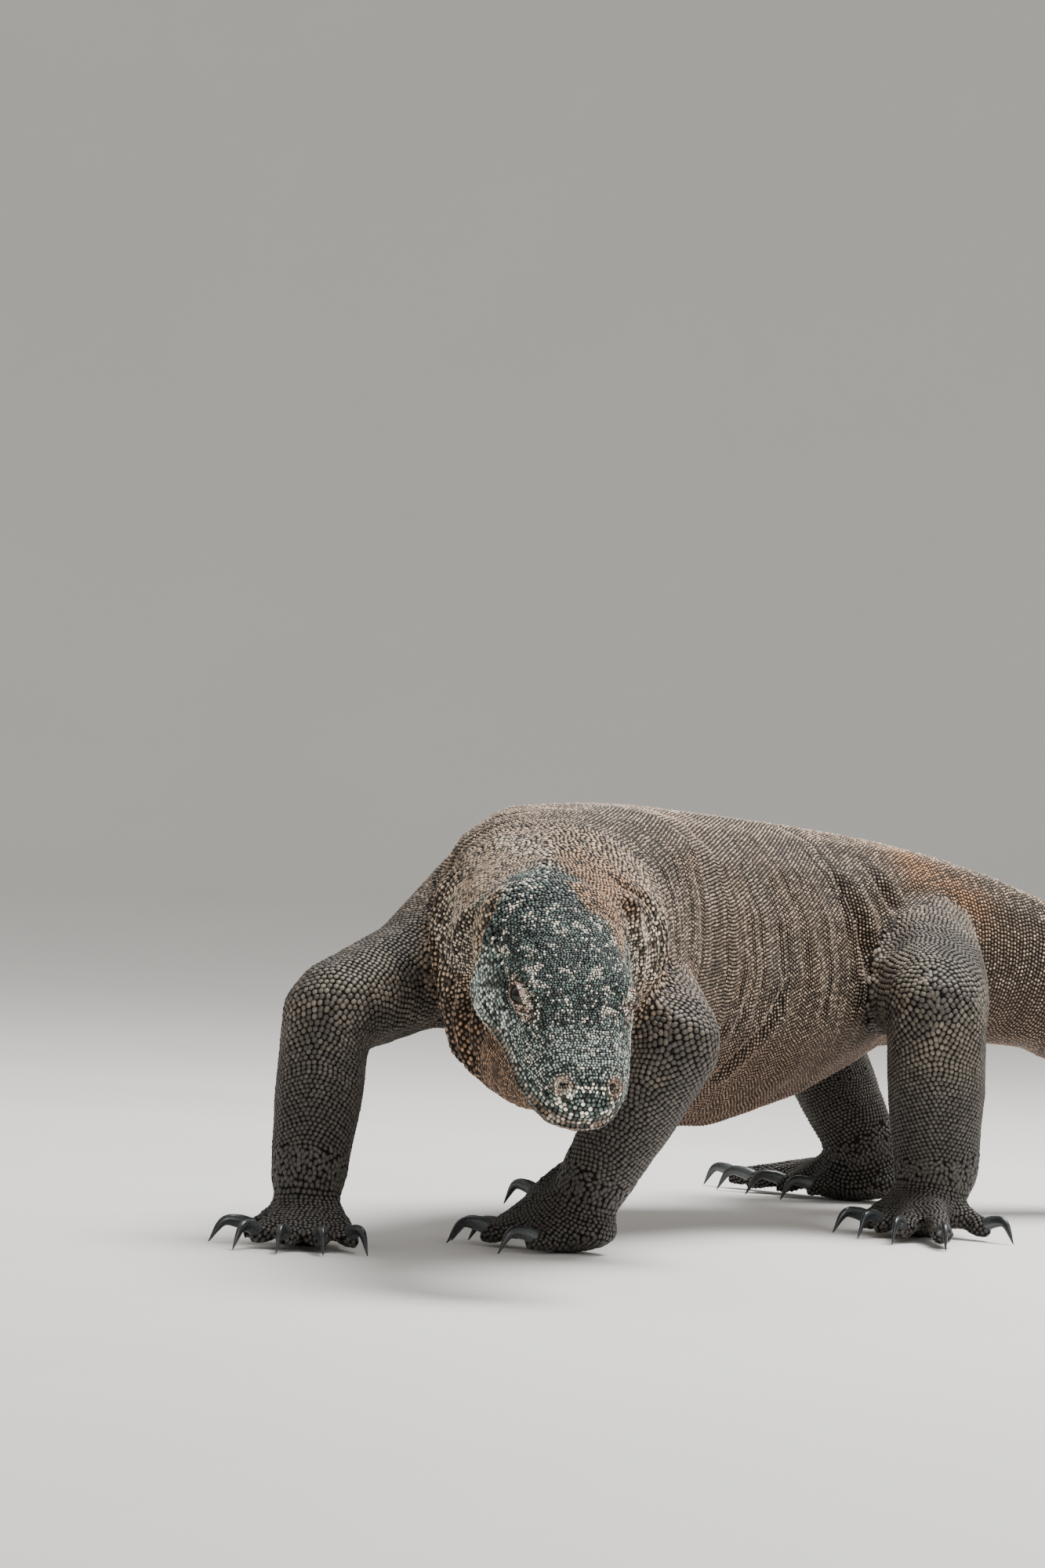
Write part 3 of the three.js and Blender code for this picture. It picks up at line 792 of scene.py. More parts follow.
def group(name, inputs, outputs):
    """A new node group with named inputs and outputs, its inputs' sockets and its output node."""
    tree = bpy.data.node_groups.new(name, "ShaderNodeTree")
    for label, kind in inputs.items():
        tree.interface.new_socket(label, in_out="INPUT", socket_type=kind)
    for label, kind in outputs.items():
        tree.interface.new_socket(label, in_out="OUTPUT", socket_type=kind)
    source = tree.nodes.new("NodeGroupInput")
    sink = tree.nodes.new("NodeGroupOutput")
    return tree, source.outputs, sink.inputs


def colour(value):
    return (*value, 1.0)


def markings_group(c):
    """The colours of the hide and scales, with painted shade low on each scale and in the gaps between them. c holds
    the colours that a user may change.
    """
    layers = {name: "NodeSocketVector" for name in MARKS}
    tree, given, out = group(
        "hide markings",
        {"place": "NodeSocketVector", "tone": "NodeSocketFloat", "crest": "NodeSocketFloat", **layers},
        {"colour": "NodeSocketColor", "roughness": "NodeSocketFloat", "height": "NodeSocketFloat"},
    )
    n = Nodes(tree)
    mark = {}
    for layer, names in MARKS.items():
        mark |= dict(zip(names, n.parts(given[layer])))
    place, tone, crest = given["place"], given["tone"], given["crest"]
    broad = n.noise(place, 0.09, 3)
    patch = n.noise(place, 0.03, 2)
    fine = n.noise(place, 0.011, 2, 0.6)
    grain = n.noise(place, 0.0016, 2)
    toned = n.maths("ADD", n.maths("MULTIPLY", tone, 0.7), n.maths("MULTIPLY", patch, 0.3))

    body = n.mix(n.step(broad, 0.38, 0.62), colour(c.body_grey), colour(c.body_brown))
    body = n.mix(n.step(toned, 0.55, 0.8, 0, 0.75), body, colour(c.body_pale))
    body = n.mix(mark["belly"], body, colour(c.belly))
    body = n.mix(n.maths("MULTIPLY", mark["tail"], 0.5), body, colour(c.tail))
    limbed = n.maths("ADD", n.maths("MULTIPLY", tone, 0.15), n.maths("MULTIPLY", n.noise(place, 0.05, 3), 0.9))
    limb = n.mix(n.step(limbed, 0.42, 0.68), colour(c.limb), colour(c.limb_pale))
    body = n.mix(mark["limb"], body, limb)
    body = n.mix(mark["hand"], body, colour(c.hand))
    # Painted light: where the nape mark is at full strength, on the neck's sides, the cream is mixed towards the pale
    # fleck colour.
    creamy_and_painted_side_light = n.maths("MULTIPLY", mark["nape"], n.step(toned, 0.22, 0.5))
    body = n.mix(creamy_and_painted_side_light, body, n.mix(n.step(mark["nape"], 0.82, 1.0, 0.0, 0.4), colour(c.nape), colour(c.fleck)))
    rusty = n.maths("ADD", n.maths("MULTIPLY", tone, 0.5), n.maths("MULTIPLY", fine, 0.5))
    ochre = n.maths("MULTIPLY", mark["ochre"], n.step(rusty, 0.26, 0.44))
    body = n.mix(ochre, body, colour(c.ochre))

    tealed = n.maths("ADD", n.maths("MULTIPLY", tone, 0.45), n.maths("MULTIPLY", n.noise(place, 0.028, 3), 0.9))
    head = n.mix(n.step(tealed, 0.45, 0.95), colour(c.head_dark), colour(c.head_teal))
    head = n.mix(n.maths("MULTIPLY", mark["cheek"], n.step(toned, 0.15, 0.5)), head, colour(c.cheek))
    all_over = n.mix(mark["head"], body, head)
    throat = n.mix(n.step(toned, 0.3, 0.8), colour(c.throat), colour(c.throat_pale))
    all_over = n.mix(mark["throat"], all_over, throat)
    all_over = n.mix(n.maths("MULTIPLY", mark["lip"], n.step(toned, 0.2, 0.5)), all_over, colour(c.lip))
    all_over = n.mix(n.maths("MULTIPLY", mark["nostril"], n.step(toned, 0.1, 0.4)), all_over, colour(c.rim))
    all_over = n.mix(n.maths("MULTIPLY", mark["ring"], n.step(toned, 0.15, 0.45)), all_over, colour(c.ring))

    blotch = n.noise(place, 0.0085, 3, 0.65)
    crowd = n.step(n.noise(place, 0.035, 1), 0.42, 0.62, -0.04, 0.03)
    fleck = n.maths("ADD", n.maths("ADD", blotch, crowd), n.maths("MULTIPLY", tone, 0.07))
    fleck = n.maths("MAXIMUM", n.step(fleck, 0.592, 0.614), n.step(tone, 0.878, 0.888))
    flecked = n.maths("MULTIPLY", fleck, mark["head"])
    flecked = n.maths("MULTIPLY", flecked, n.maths("SUBTRACT", 1.0, mark["throat"]))
    flecked = n.maths("MULTIPLY", flecked, n.maths("SUBTRACT", 1.0, n.maths("MULTIPLY", mark["cheek"], 0.75)))
    flecked = n.maths("MULTIPLY", flecked, n.maths("SUBTRACT", 1.0, n.maths("MULTIPLY", mark["lip"], 0.6)))
    all_over = n.mix(flecked, all_over, colour(c.fleck))

    # Painted shade: the colour sinks nearly to black low on each scale and in the gaps between scales, and keeps its
    # full strength towards the crest.
    lit = n.step(crest, 0.22, 0.86, 0.0, 1.0)
    shade = n.maths("ADD", n.maths("MULTIPLY", lit, n.step(grain, 0.2, 0.8, 1.0, 1.3)), 0.07)
    contrast = n.maths("MULTIPLY_ADD", mark["limb"], -0.5, n.maths("MULTIPLY_ADD", mark["nape"], 0.45, 1.0))
    spread = n.maths("MULTIPLY_ADD", n.maths("SUBTRACT", tone, 0.5), contrast, 1.0)
    shade = n.maths("MULTIPLY", shade, spread)
    shaded = n.add("ShaderNodeVectorMath", {0: all_over, "Scale": shade}, operation="SCALE")
    n.feed(out["colour"], shaded)
    n.feed(out["roughness"], n.step(grain, 0.2, 0.8, 0.46, 0.64))
    pores = n.noise(place, 0.0006, 1)
    n.feed(out["height"], n.maths("ADD", n.maths("MULTIPLY", grain, 0.6), n.maths("MULTIPLY", pores, 0.4)))
    return tree


def new_material(name):
    """A new material, what adds its nodes, and the inputs of its surface."""
    material = bpy.data.materials.new(name)
    material.use_nodes = True
    return material, Nodes(material.node_tree), material.node_tree.nodes["Principled BSDF"].inputs


def hide_material(name, tree, coat):
    """Hide for the skin, or for the scales where coat is true."""
    material, n, surface = new_material(name)
    node = material.node_tree.nodes.new("ShaderNodeGroup")
    node.node_tree = tree
    place = n.attribute("root", "Vector") if coat else n.add("ShaderNodeTexCoord", output="Object")
    n.feed(node.inputs["place"], place)
    n.feed(node.inputs["tone"], n.attribute("tone"))
    # Painted shade: the skin between the scales is given a low crest, so the hide's colours paint it nearly black;
    # inside the nostril pits the crest is raised, so the painted shade is lighter there.
    pits = n.parts(n.attribute("marks_face", "Vector"))[2]
    n.feed(node.inputs["crest"], n.attribute("crest") if coat else n.maths("MULTIPLY_ADD", pits, 0.42, 0.12))
    for layer in MARKS:
        n.feed(node.inputs[layer], n.attribute(layer, "Vector"))
    n.feed(surface["Base Color"], node.outputs["colour"])
    n.feed(surface["Roughness"], node.outputs["roughness"])
    relief = n.add("ShaderNodeBump", {"Height": node.outputs["height"], "Strength": 0.5, "Distance": 0.0004})
    n.feed(surface["Normal"], relief)
    surface["Specular IOR Level"].default_value = 0.42 if coat else 0.1
    return material


def horn_material(c):
    material, n, surface = new_material("claw horn")
    along = n.attribute("along")
    place = n.add("ShaderNodeTexCoord", output="Object")
    streak = n.noise(n.add("ShaderNodeMapping", {0: place, 3: (1, 1, 3)}), 0.003, 3)
    patchy = n.maths("MULTIPLY", n.maths("SUBTRACT", streak, 0.5), 0.9)
    worn = n.maths("ADD", n.step(along, 0.55, 0.05), patchy, clamp=True)
    base = n.mix(worn, colour(c.claw_tip), colour(c.claw_root))
    n.feed(surface["Base Color"], base)
    n.feed(surface["Roughness"], n.step(streak, 0.3, 0.7, 0.24, 0.42))
    n.feed(surface["Normal"], n.add("ShaderNodeBump", {"Height": streak, "Strength": 0.35, "Distance": 0.0004}))
    surface["Coat Weight"].default_value = 0.25
    surface["Coat Roughness"].default_value = 0.2
    return material


def eye_material(c):
    material, n, surface = new_material("eye")
    gaze = n.attribute("gaze")
    place = n.add("ShaderNodeTexCoord", output="Object")
    fibre = n.noise(place, 0.0012, 3)
    iris = n.mix(n.step(fibre, 0.35, 0.65), colour(c.iris), colour(c.iris_pale))
    white = n.mix(n.step(fibre, 0.4, 0.7), colour(c.eye_white), colour(c.iris))
    shown = n.mix(n.step(gaze, 0.50, 0.58), (0.002, 0.002, 0.003, 1), iris)
    shown = n.mix(n.step(gaze, 0.60, 0.66), shown, (0.004, 0.003, 0.003, 1))
    shown = n.mix(n.step(gaze, 0.72, 0.8), shown, white)
    n.feed(surface["Base Color"], shown)
    n.feed(surface["Roughness"], n.step(fibre, 0.2, 0.8, 0.08, 0.14))
    surface["Specular IOR Level"].default_value = 0.1
    surface["Coat Weight"].default_value = 0.6
    surface["Coat Roughness"].default_value = 0.02
    return material


def floor_material(c):
    material, n, surface = new_material("studio floor")
    place = n.add("ShaderNodeTexCoord", output="Object")
    cloud = n.noise(place, 0.6, 3)
    pale = [v * 1.06 for v in c.floor]
    n.feed(surface["Base Color"], n.mix(cloud, colour(c.floor), colour(pale)))
    n.feed(surface["Roughness"], n.step(cloud, 0.3, 0.7, 0.6, 0.75))
    return material


# ---------------------------------------------------------------- pieces


def placed(name, mesh, material):
    """Adds a finished mesh as a piece of the still animal."""
    piece = linked(name, mesh)
    mesh.materials.append(material)
    mesh.polygons.foreach_set("use_smooth", [True] * len(mesh.polygons))
    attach(piece, "root")
    return piece


def build_skin(settings):
    """The hide under the scales: one smooth closed skin with its folds, lids, nostrils and mouth."""
    around = Surroundings()
    mesh = fused_flesh(settings.voxel)
    co, _ = arrays_of(mesh)
    part = around.part(co)
    amount = smoothed(np.where(part >= FIRST_HAND, 0.45, 1.0), edges_of(mesh), 3)[:, 0]
    co = rounded(co, edges_of(mesh), 14, amount)
    mesh.vertices.foreach_set("co", co.ravel())

    def again(wanted, rounds):
        refined(mesh, wanted)
        co, _ = arrays_of(mesh)
        mesh.vertices.foreach_set("co", rounded(co, edges_of(mesh), rounds, 0.6).ravel())

    along, _, _ = around.spine.locate(co)
    neck = (part == TRUNK) & (along < 0.31)
    again((part >= FIRST_HAND) | is_head(part) | neck, 2)
    for reach in (26, 21):
        co, _ = arrays_of(mesh)
        back, left, up = on_head(co)
        near_eye = np.minimum(*[np.linalg.norm(co - place, axis=1) for place in EYES.values()]) < reach * MM
        lips = (abs(up - mouth_level(back)) < 8 * MM) & (back < MOUTH_CORNER + 8 * MM)
        snout = (back < 30 * MM) & (up > 6 * MM)
        again(near_eye | ((lips | snout) & (reach == 26) & (np.hypot(left, up) < 90 * MM)), 1)

    co, tri = arrays_of(mesh)
    edges = edges_of(mesh)
    part = around.part(co)
    inset = np.select([part >= FIRST_HAND, part == THROAT, (part >= HEAD) & (part < THROAT)], [1.3, 1.3, 0.9], 1.9)
    inset = smoothed(inset, edges, 6)[:, 0] * MM + OVERLAP
    co = co - inset[:, None] * normals_of(co, tri)

    normals = normals_of(co, tri)
    lift = np.zeros(len(co))
    trunk = part == TRUNK
    along, angle, out = around.spine.locate(co)
    for fold in TRUNK_FOLDS + rib_folds():
        lift += trunk * creased(along, angle, out, fold)
    for leg, axis in around.legs.items():
        here = part == LEG[leg]
        along, angle, out = axis.locate(co)
        for fold in leg_folds(axis):
            lift += here * creased(along, angle, out, fold)
    waves = speckle(co, 0.035) * 0.7 + speckle(co, 0.014, 40.0) * 0.35
    lift += MM * waves * np.where(part == TRUNK, 1.0, 0.6)
    co = co + smoothed(lift, edges, 1)[:, 0][:, None] * normals
    co = np.where(is_head(part)[:, None], shape_head(co, normals), co)
    for side in (-1, 1):
        co = shape_eye(co, side)
    co[:, 2] = np.maximum(co[:, 2], 1.2 * MM)
    mesh.vertices.foreach_set("co", co.ravel())
    mesh.update()

    marks = marks_of(around, part, co, edges)
    for index, layer in enumerate(MARKS):
        keep(mesh, layer, marks[:, 3 * index : 3 * index + 3], "FLOAT_VECTOR")
    keep(mesh, "tone", 0.5 + 0.5 * speckle(co, 0.006, 9.0))
    part = rows_at_body(around, part, co, normals_of(co, tri), edges)
    keep(mesh, "part", part.astype(np.int32), "INT")
    return mesh


def leg_folds(axis):
    """Creases inside the elbow or knee, and rings round the ankle."""
    middle = axis.length[len(axis.length) // 2] / MM
    end = axis.length[-1] / MM
    folds = [((middle - 6, 95), (middle + 4, 250), 7, 2.4), ((middle + 12, 100), (middle + 22, 240), 6, 1.8)]
    for index in range(3):
        folds.append(((end - 6 - 11 * index, -70), (end - 2 - 11 * index, 70), 4, 1.6))
    return folds


# Sizes of the scales in millimetres at lengths along the trunk and the legs and back from the snout tip, and
# how far apart the trunk's rows are.
TRUNK_AT = [0, 150, 330, 450, 1000, 1300, 1700, 2200, 2540]
TRUNK_SIZES = (TRUNK_AT, [3.7, 3.8, 3.8, 3.6, 3.8, 4.4, 4.9, 4.4, 3.3])
TRUNK_ROWS = (TRUNK_AT, [4.6, 5.6, 5.0, 4.0, 4.2, 4.9, 5.5, 4.9, 3.7])
LEG_SIZES = ([-60, 120, 200, 320], [4.5, 4.9, 4.9, 4.6])
HEAD_SIZES = ([-10, 25, 60, 110, 150, 190, 230], [3.0, 2.9, 2.55, 2.4, 2.6, 3.3, 4.1])
CHEEK_SIZES = ([0, 100, 215], [3.4, 3.9, 4.1])
THROAT_SIZES = ([0, 60, 260], [2.9, 2.7, 3.4])
HAND_SIZE, LID_SIZE, LIP_SIZE = 4.3, 2.2, 3.9
ROW_STEP = 0.87  # how far apart rows are, as a share of the size of their scales
# Lengthwise rows on the neck: where they end along the trunk, the neck's radius, their distance and scale size.
NECK_END, NECK_RADIUS, NECK_ROW, NECK_SIZE = 300 * MM, 95 * MM, 4.4 * MM, 4.2 * MM
RAISED_FROM = 84  # the rows of the trunk from which every third is raised

# How high scales stand as a share of their size, how far back they lean, how unevenly they lie and their radius
# as a share of their size, by part.
DOMES = {
    TRUNK: (0.36, 0.26, 0.07, 0.56),
    HEAD: (0.30, 0.05, 0.20, 0.58),
    LID: (0.30, 0.0, 0.12, 0.58),
    LIP: (0.28, 0.0, 0.08, 0.60),
    CHEEK: (0.28, 0.1, 0.10, 0.62),
    THROAT: (0.30, 0.1, 0.06, 0.58),
}
LEG_DOME = (0.26, 0.25, 0.07, 0.63)
HAND_DOME = (0.26, 0.2, 0.10, 0.62)


def counted(length, sizes, rows=None):
    """Turns lengths into row numbers, for sizes given at some lengths, and for how far apart rows are there."""
    at, size = sizes
    _, apart = rows or (at, [ROW_STEP * value for value in size])
    stops = np.linspace(at[0] - 60, at[-1] + 60, 4000)
    numbers = np.concatenate([[0], np.cumsum(np.diff(stops) / np.interp(stops[1:], at, apart))])
    return np.interp(length / MM, stops, numbers), np.interp(length / MM, at, size) * MM


def evened(field, co, tri, rounds):
    """Redraws a field of lengths so that it grows evenly over the hide, in the direction that it has."""
    sides = np.unique(np.sort(tri[:, [[0, 1], [1, 2], [2, 0]]].reshape(-1, 2), axis=1), axis=0)
    way = smoothed(slopes_of(field, co, tri), sides, 6)
    way /= np.maximum(np.linalg.norm(way, axis=1), 1e-6)[:, None]
    a, b = sides.T
    step = ((way[a] + way[b]) * (co[b] - co[a])).sum(1) / 2
    ends, others = np.concatenate([a, b]), np.concatenate([b, a])
    steps = np.concatenate([-step, step])
    degree = np.maximum(np.bincount(ends, minlength=len(co)), 1)
    for _ in range(rounds):
        drawn = np.bincount(ends, weights=field[others] + steps, minlength=len(co)) / degree
        field = 0.2 * field + 0.8 * drawn
    return field


def rows_of(around, part, co, tri):
    """The row number, scale size and nearness to the front of its row at every place of one part."""
    back, left, up = on_head(co)
    if part == TRUNK:
        along, angle, _ = around.spine.locate(co)
        rows, size = counted(evened(along, co, tri, 60), TRUNK_SIZES, TRUNK_ROWS)
        return rows, size * (1 + 0.15 * ease(abs(angle), 2.0, 2.6)), -abs(angle)
    if part == NECK:
        along, angle, _ = around.spine.locate(co)
        wander = (4.5 * speckle(co, 0.04, 3.0) + 2.0 * speckle(co, 0.016, 11.0)) * MM
        round_neck = abs(angle) * NECK_RADIUS + 0.22 * along + wander
        return round_neck / NECK_ROW + 0.5, NECK_SIZE * (1 + 0.12 * speckle(co, 0.01, 5.0)), -along
    if part == HEAD:
        return *counted(back, HEAD_SIZES), -abs(left)
    if part == CHEEK:
        return *counted(back, CHEEK_SIZES), up
    if part == THROAT:
        return *counted(back, THROAT_SIZES), -abs(left)
    if part == LIP:
        rows = (up - mouth_level(back)) / (ROW_STEP * LIP_SIZE * MM) + 0.5
        return rows, np.full(len(co), 1.15 * LIP_SIZE * MM), -back
    if part == LID:
        ring = np.where(left > 0, round_eye(co, 1)[3], round_eye(co, -1)[3])
        return ring * 6.2 / (ROW_STEP * LID_SIZE), np.full(len(co), LID_SIZE * MM), up
    for leg in LEGS:
        if part == LEG[leg]:
            along, angle, out = around.legs[leg].locate(co)
            return *counted(evened(along - 0.3 * out * abs(angle), co, tri, 250), LEG_SIZES), -abs(angle)
        if part == HAND[leg]:
            away = np.linalg.norm(co - around.wrists[leg], axis=1)
            return away / (ROW_STEP * HAND_SIZE * MM), np.full(len(co), HAND_SIZE * MM), co[:, 2]


def rows_at_body(around, part, co, normals, edges):
    """Gives the hide where a leg swells out of the body to the trunk, so that its rows run on into the trunk's."""
    score = np.full(len(co), -1.0)
    near = np.argmin(np.linalg.norm(co[:, None, :] - around.spine.points[None, ::10], axis=2), axis=1) * 10
    along_spine = around.spine.ahead[near]
    for leg, axis in around.legs.items():
        here = part == LEG[leg]
        along, _, _ = axis.locate(co[here])
        step = np.clip(np.searchsorted(axis.length, along), 0, len(axis.length) - 1)
        ahead = axis.ahead[step]
        facing = abs((normals[here] * ahead).sum(1)) - abs((normals[here] * along_spine[here]).sum(1))
        score[here] = facing - 3 * ease(along, 0.2 * axis.length[-1], 0.5 * axis.length[-1])
    score[part == TRUNK] = 0.5
    score = smoothed(score, edges, 12)[:, 0]
    legs = (part >= FIRST_LEG) & (part < FIRST_HAND)
    part = np.where(legs & (score > 0.02), TRUNK, part)
    along, _, _ = around.spine.locate(co)
    return np.where((part == TRUNK) & (along + 30 * MM * speckle(co, 0.04) < NECK_END), NECK, part)


def in_opening(seeds):
    """Whether each seed is in an eye's opening, a nostril or the mouth line."""
    co = seeds[:, PLACE]
    back, _, up = on_head(co)
    open_eye = np.zeros(len(co), bool)
    for side in (-1, 1):
        u, v, w, spread = round_eye(co, side)
        open_eye |= (spread < 1.14) & (w > -8) & (np.hypot(u, v) < 20)
    mouth = (abs(up - mouth_level(back)) < 1.5 * MM) & (back < MOUTH_CORNER) & (seeds[:, -1] <= THROAT)
    return open_eye | (nearest_of(co, NOSTRILS) < NOSTRIL_PIT) | mouth


def scale_seeds(around, mesh):
    """Where every scale grows: rows along each part, then single ones in the gaps between parts."""
    co, tri = arrays_of(mesh)
    normals = normals_of(co, tri)
    part = kept(mesh, "part", "INT")
    marks = np.hstack([kept(mesh, layer, "FLOAT_VECTOR") for layer in MARKS])
    part_of = part[tri].max(1)
    rng = np.random.default_rng(3)
    chosen, spare = [], []
    for one in np.unique(part_of):
        mine = tri[part_of == one]
        used, small = np.unique(mine, return_inverse=True)
        small = small.reshape(-1, 3)
        rows, size, front = rows_of(around, one, co[used], small)
        slope = slopes_of(rows, co[used], small)
        if one >= FIRST_LEG:
            apart = 1 / np.maximum(np.linalg.norm(slope, axis=1), 1e-6) / ROW_STEP
            size = np.clip(apart, 0.75 * size, 1.15 * size)
        flat = np.zeros((len(used), 1))
        columns = [co[used], normals[used], slope, size[:, None], front[:, None], flat, marks[used], flat + one]
        values = np.hstack(columns)
        a, b, share, number, segments = crossings(rows, small)
        points = values[a] + share[:, None] * (values[b] - values[a])
        for chain, closed in chains(segments, len(points)):
            row = int(number[chain[0]])
            found = seeds_along(points, chain, closed, row)
            found[:, RAISED] = one == TRUNK and row % 3 == 0 and row > RAISED_FROM
            chosen.append(found)
        for _ in range(5):
            share = rng.dirichlet((1, 1, 1), len(small))
            spare.append((values[small] * share[:, :, None]).sum(1))
    chosen = spaced(np.vstack(chosen), 0.72)
    spare = np.vstack(spare)
    extra = gaps(chosen, spare, np.where(np.rint(spare[:, -1]) == TRUNK, 0.95, 0.78))
    extra = extra[rng.permutation(len(extra))]
    seeds = spaced(np.vstack([chosen, extra]), 0.74)
    seeds[:, -1] = np.rint(seeds[:, -1])
    seeds[seeds[:, -1] == NECK, -1] = TRUNK
    return seeds[~in_opening(seeds)]


def scale_shape(shouldered):
    """One scale with six sides, pointing along X, its base at 0: a dome with a shoulder, or a plain bead."""
    bm = bmesh.new()
    base = bmesh.ops.create_circle(bm, segments=6, radius=1, cap_ends=True)["verts"]
    bmesh.ops.rotate(bm, verts=base, cent=(0, 0, 0), matrix=Matrix.Rotation(math.pi / 2, 3, "Z"))
    made = bmesh.ops.extrude_face_region(bm, geom=bm.faces[:])["geom"]
    bmesh.ops.translate(bm, vec=(0, 0, -0.35), verts=base)
    top = [g for g in made if isinstance(g, bmesh.types.BMVert)]
    if shouldered:
        bmesh.ops.scale(bm, vec=(0.74, 0.74, 1), verts=top)
        bmesh.ops.translate(bm, vec=(0, 0, 0.68), verts=top)
        crest = bmesh.ops.poke(bm, faces=[g for g in made if isinstance(g, bmesh.types.BMFace)])["verts"]
        bmesh.ops.translate(bm, vec=(0, 0, 0.32), verts=crest)
    else:
        bmesh.ops.pointmerge(bm, verts=top, merge_co=(0, 0, 1))
    bmesh.ops.recalc_face_normals(bm, faces=bm.faces)
    bm.verts.index_update()
    verts = np.array([v.co[:] for v in bm.verts])
    faces = [[v.index for v in f.verts] for f in bm.faces]
    bm.free()
    return verts, faces


def dotted(places):
    """Which scales are the pale dots in a row between the nostrils and along the upper lip."""
    back, left, up = on_head(places)
    across = left / MM / 5.8
    row = (abs(up - 21 * MM) < 2.0 * MM) & (abs(across) < 3) & (back < 14 * MM)
    lip = (abs(up - mouth_level(back) - 16 * MM) < 2.2 * MM) & (abs(left) < 17 * MM) & (back < 14 * MM)
    return (row & (abs(across - np.rint(across)) < 0.3)) | (lip & (abs(across - np.rint(across)) < 0.22))


def scales_mesh(name, seeds, uv):
    """One mesh with a scale on every seed."""
    shape, faces = scale_shape(name not in PLAIN_BEADS)
    count, size = len(seeds), len(shape)
    rng = np.random.default_rng(len(seeds))
    normal = seeds[:, NORMAL] / np.linalg.norm(seeds[:, NORMAL], axis=1)[:, None]
    slope = seeds[:, SLOPE] - (seeds[:, SLOPE] * normal).sum(1)[:, None] * normal
    steep = np.maximum(np.linalg.norm(slope, axis=1), 1e-6)
    ahead = slope / steep[:, None]
    side = np.cross(normal, ahead)
    width = seeds[:, SIZE]
    length = np.clip(1 / steep / ROW_STEP, 0.95 * width, 1.4 * width)
    dome = np.array([DOMES.get(int(p), LEG_DOME if p < FIRST_HAND else HAND_DOME) for p in seeds[:, -1]])
    turn = rng.normal(0, 1, count) * dome[:, 2] * 1.6
    ahead, side = (
        ahead * np.cos(turn)[:, None] + side * np.sin(turn)[:, None],
        side * np.cos(turn)[:, None] - ahead * np.sin(turn)[:, None],
    )
    if name in FULL_DOMES:
        dome[:, 2] += 0.09
    moved = rng.uniform(-1, 1, (2, count)) * dome[:, 2] * width
    places = seeds[:, PLACE] + moved[0][:, None] * ahead + moved[1][:, None] * side
    belly, raised = seeds[:, FIRST_MARK + 8], seeds[:, RAISED] * (seeds[:, -1] == TRUNK)
    height = width * dome[:, 0] * (1 - 0.45 * belly) * (0.95 + 0.35 * raised) * rng.uniform(0.8, 1.2, count)
    lean = dome[:, 1] * width
    jitter = (1 - dome[:, 2] * rng.uniform(-0.3, 1, (2, count))) * dome[:, 3]
    length = length * np.where(seeds[:, -1] != TRUNK, 1.0, 0.84)
    x = shape[None, :, 0] * (length * jitter[0])[:, None]
    x = x + (shape[None, :, 2] > 0) * shape[None, :, 2] * lean[:, None] * 0.6
    y = shape[None, :, 1] * (width * jitter[1])[:, None]
    z = shape[None, :, 2] * height[:, None]
    co = places[:, None] + x[..., None] * ahead[:, None] + y[..., None] * side[:, None] + z[..., None] * normal[:, None]
    co[:, :, 2] = np.maximum(co[:, :, 2], 0.1 * MM)

    loops = np.concatenate([np.array(f) for f in faces])
    sizes = np.array([len(f) for f in faces])
    starts = np.concatenate([[0], np.cumsum(sizes)[:-1]])
    mesh = bpy.data.meshes.new(name)
    mesh.vertices.add(count * size)
    mesh.vertices.foreach_set("co", co.ravel())
    mesh.loops.add(count * len(loops))
    all_loops = (loops[None] + size * np.arange(count)[:, None]).ravel()
    mesh.loops.foreach_set("vertex_index", all_loops.astype(np.int32))
    mesh.polygons.add(count * len(faces))
    all_starts = (starts[None] + len(loops) * np.arange(count)[:, None]).ravel()
    mesh.polygons.foreach_set("loop_start", all_starts.astype(np.int32))
    mesh.update(calc_edges=True)
    mesh.validate()

    # Height of each vertex on its scale, from 0 at the base to 1 at the crest; the hide's colours paint shade from it.
    # A bead's apex counts as 1.5, so more of a bead is painted lit.
    crest = np.select([shape[:, 2] > 0.9, shape[:, 2] > 0], [1.0 if len(shape) > 7 else 1.5, 0.5], 0.0)
    keep(mesh, "crest", np.tile(crest, count))
    tone = np.clip(rng.uniform(0, 0.9, count) + 0.16 * raised, 0, 1)
    tone[dotted(seeds[:, PLACE])] = 1
    keep(mesh, "tone", np.repeat(tone, size))
    keep(mesh, "root", np.repeat(seeds[:, PLACE], size, axis=0), "FLOAT_VECTOR")
    for index, layer in enumerate(MARKS):
        first = FIRST_MARK + 3 * index
        keep(mesh, layer, np.repeat(seeds[:, first : first + 3], size, axis=0), "FLOAT_VECTOR")
    bake = mesh.uv_layers.new(name="OFBake")
    patch = np.repeat(uv, size, axis=0) + np.tile(shape[:, :2] * 0.0015, (count, 1))
    bake.data.foreach_set("uv", patch[all_loops].ravel())
    return mesh


# The pieces that the scales are made in. Those of the trunk end at these lengths along it, in millimetres.
TRUNK_PIECES = [
    ("scales_nape", 170),
    ("scales_neck", 330),
    ("scales_shoulders", 510),
    ("scales_ribs", 690),
    ("scales_belly", 880),
    ("scales_hips", 1110),
    ("scales_tail_root", 1480),
    ("scales_tail", 2600),
]

FULL_DOMES = ("scales_nape", "scales_neck")
# A bead has under half the triangles of a dome. The hind leg furthest from the camera has beads too.
PLAIN_BEADS = [name for name, _ in TRUNK_PIECES if name not in FULL_DOMES] + ["scales_hind_r"]


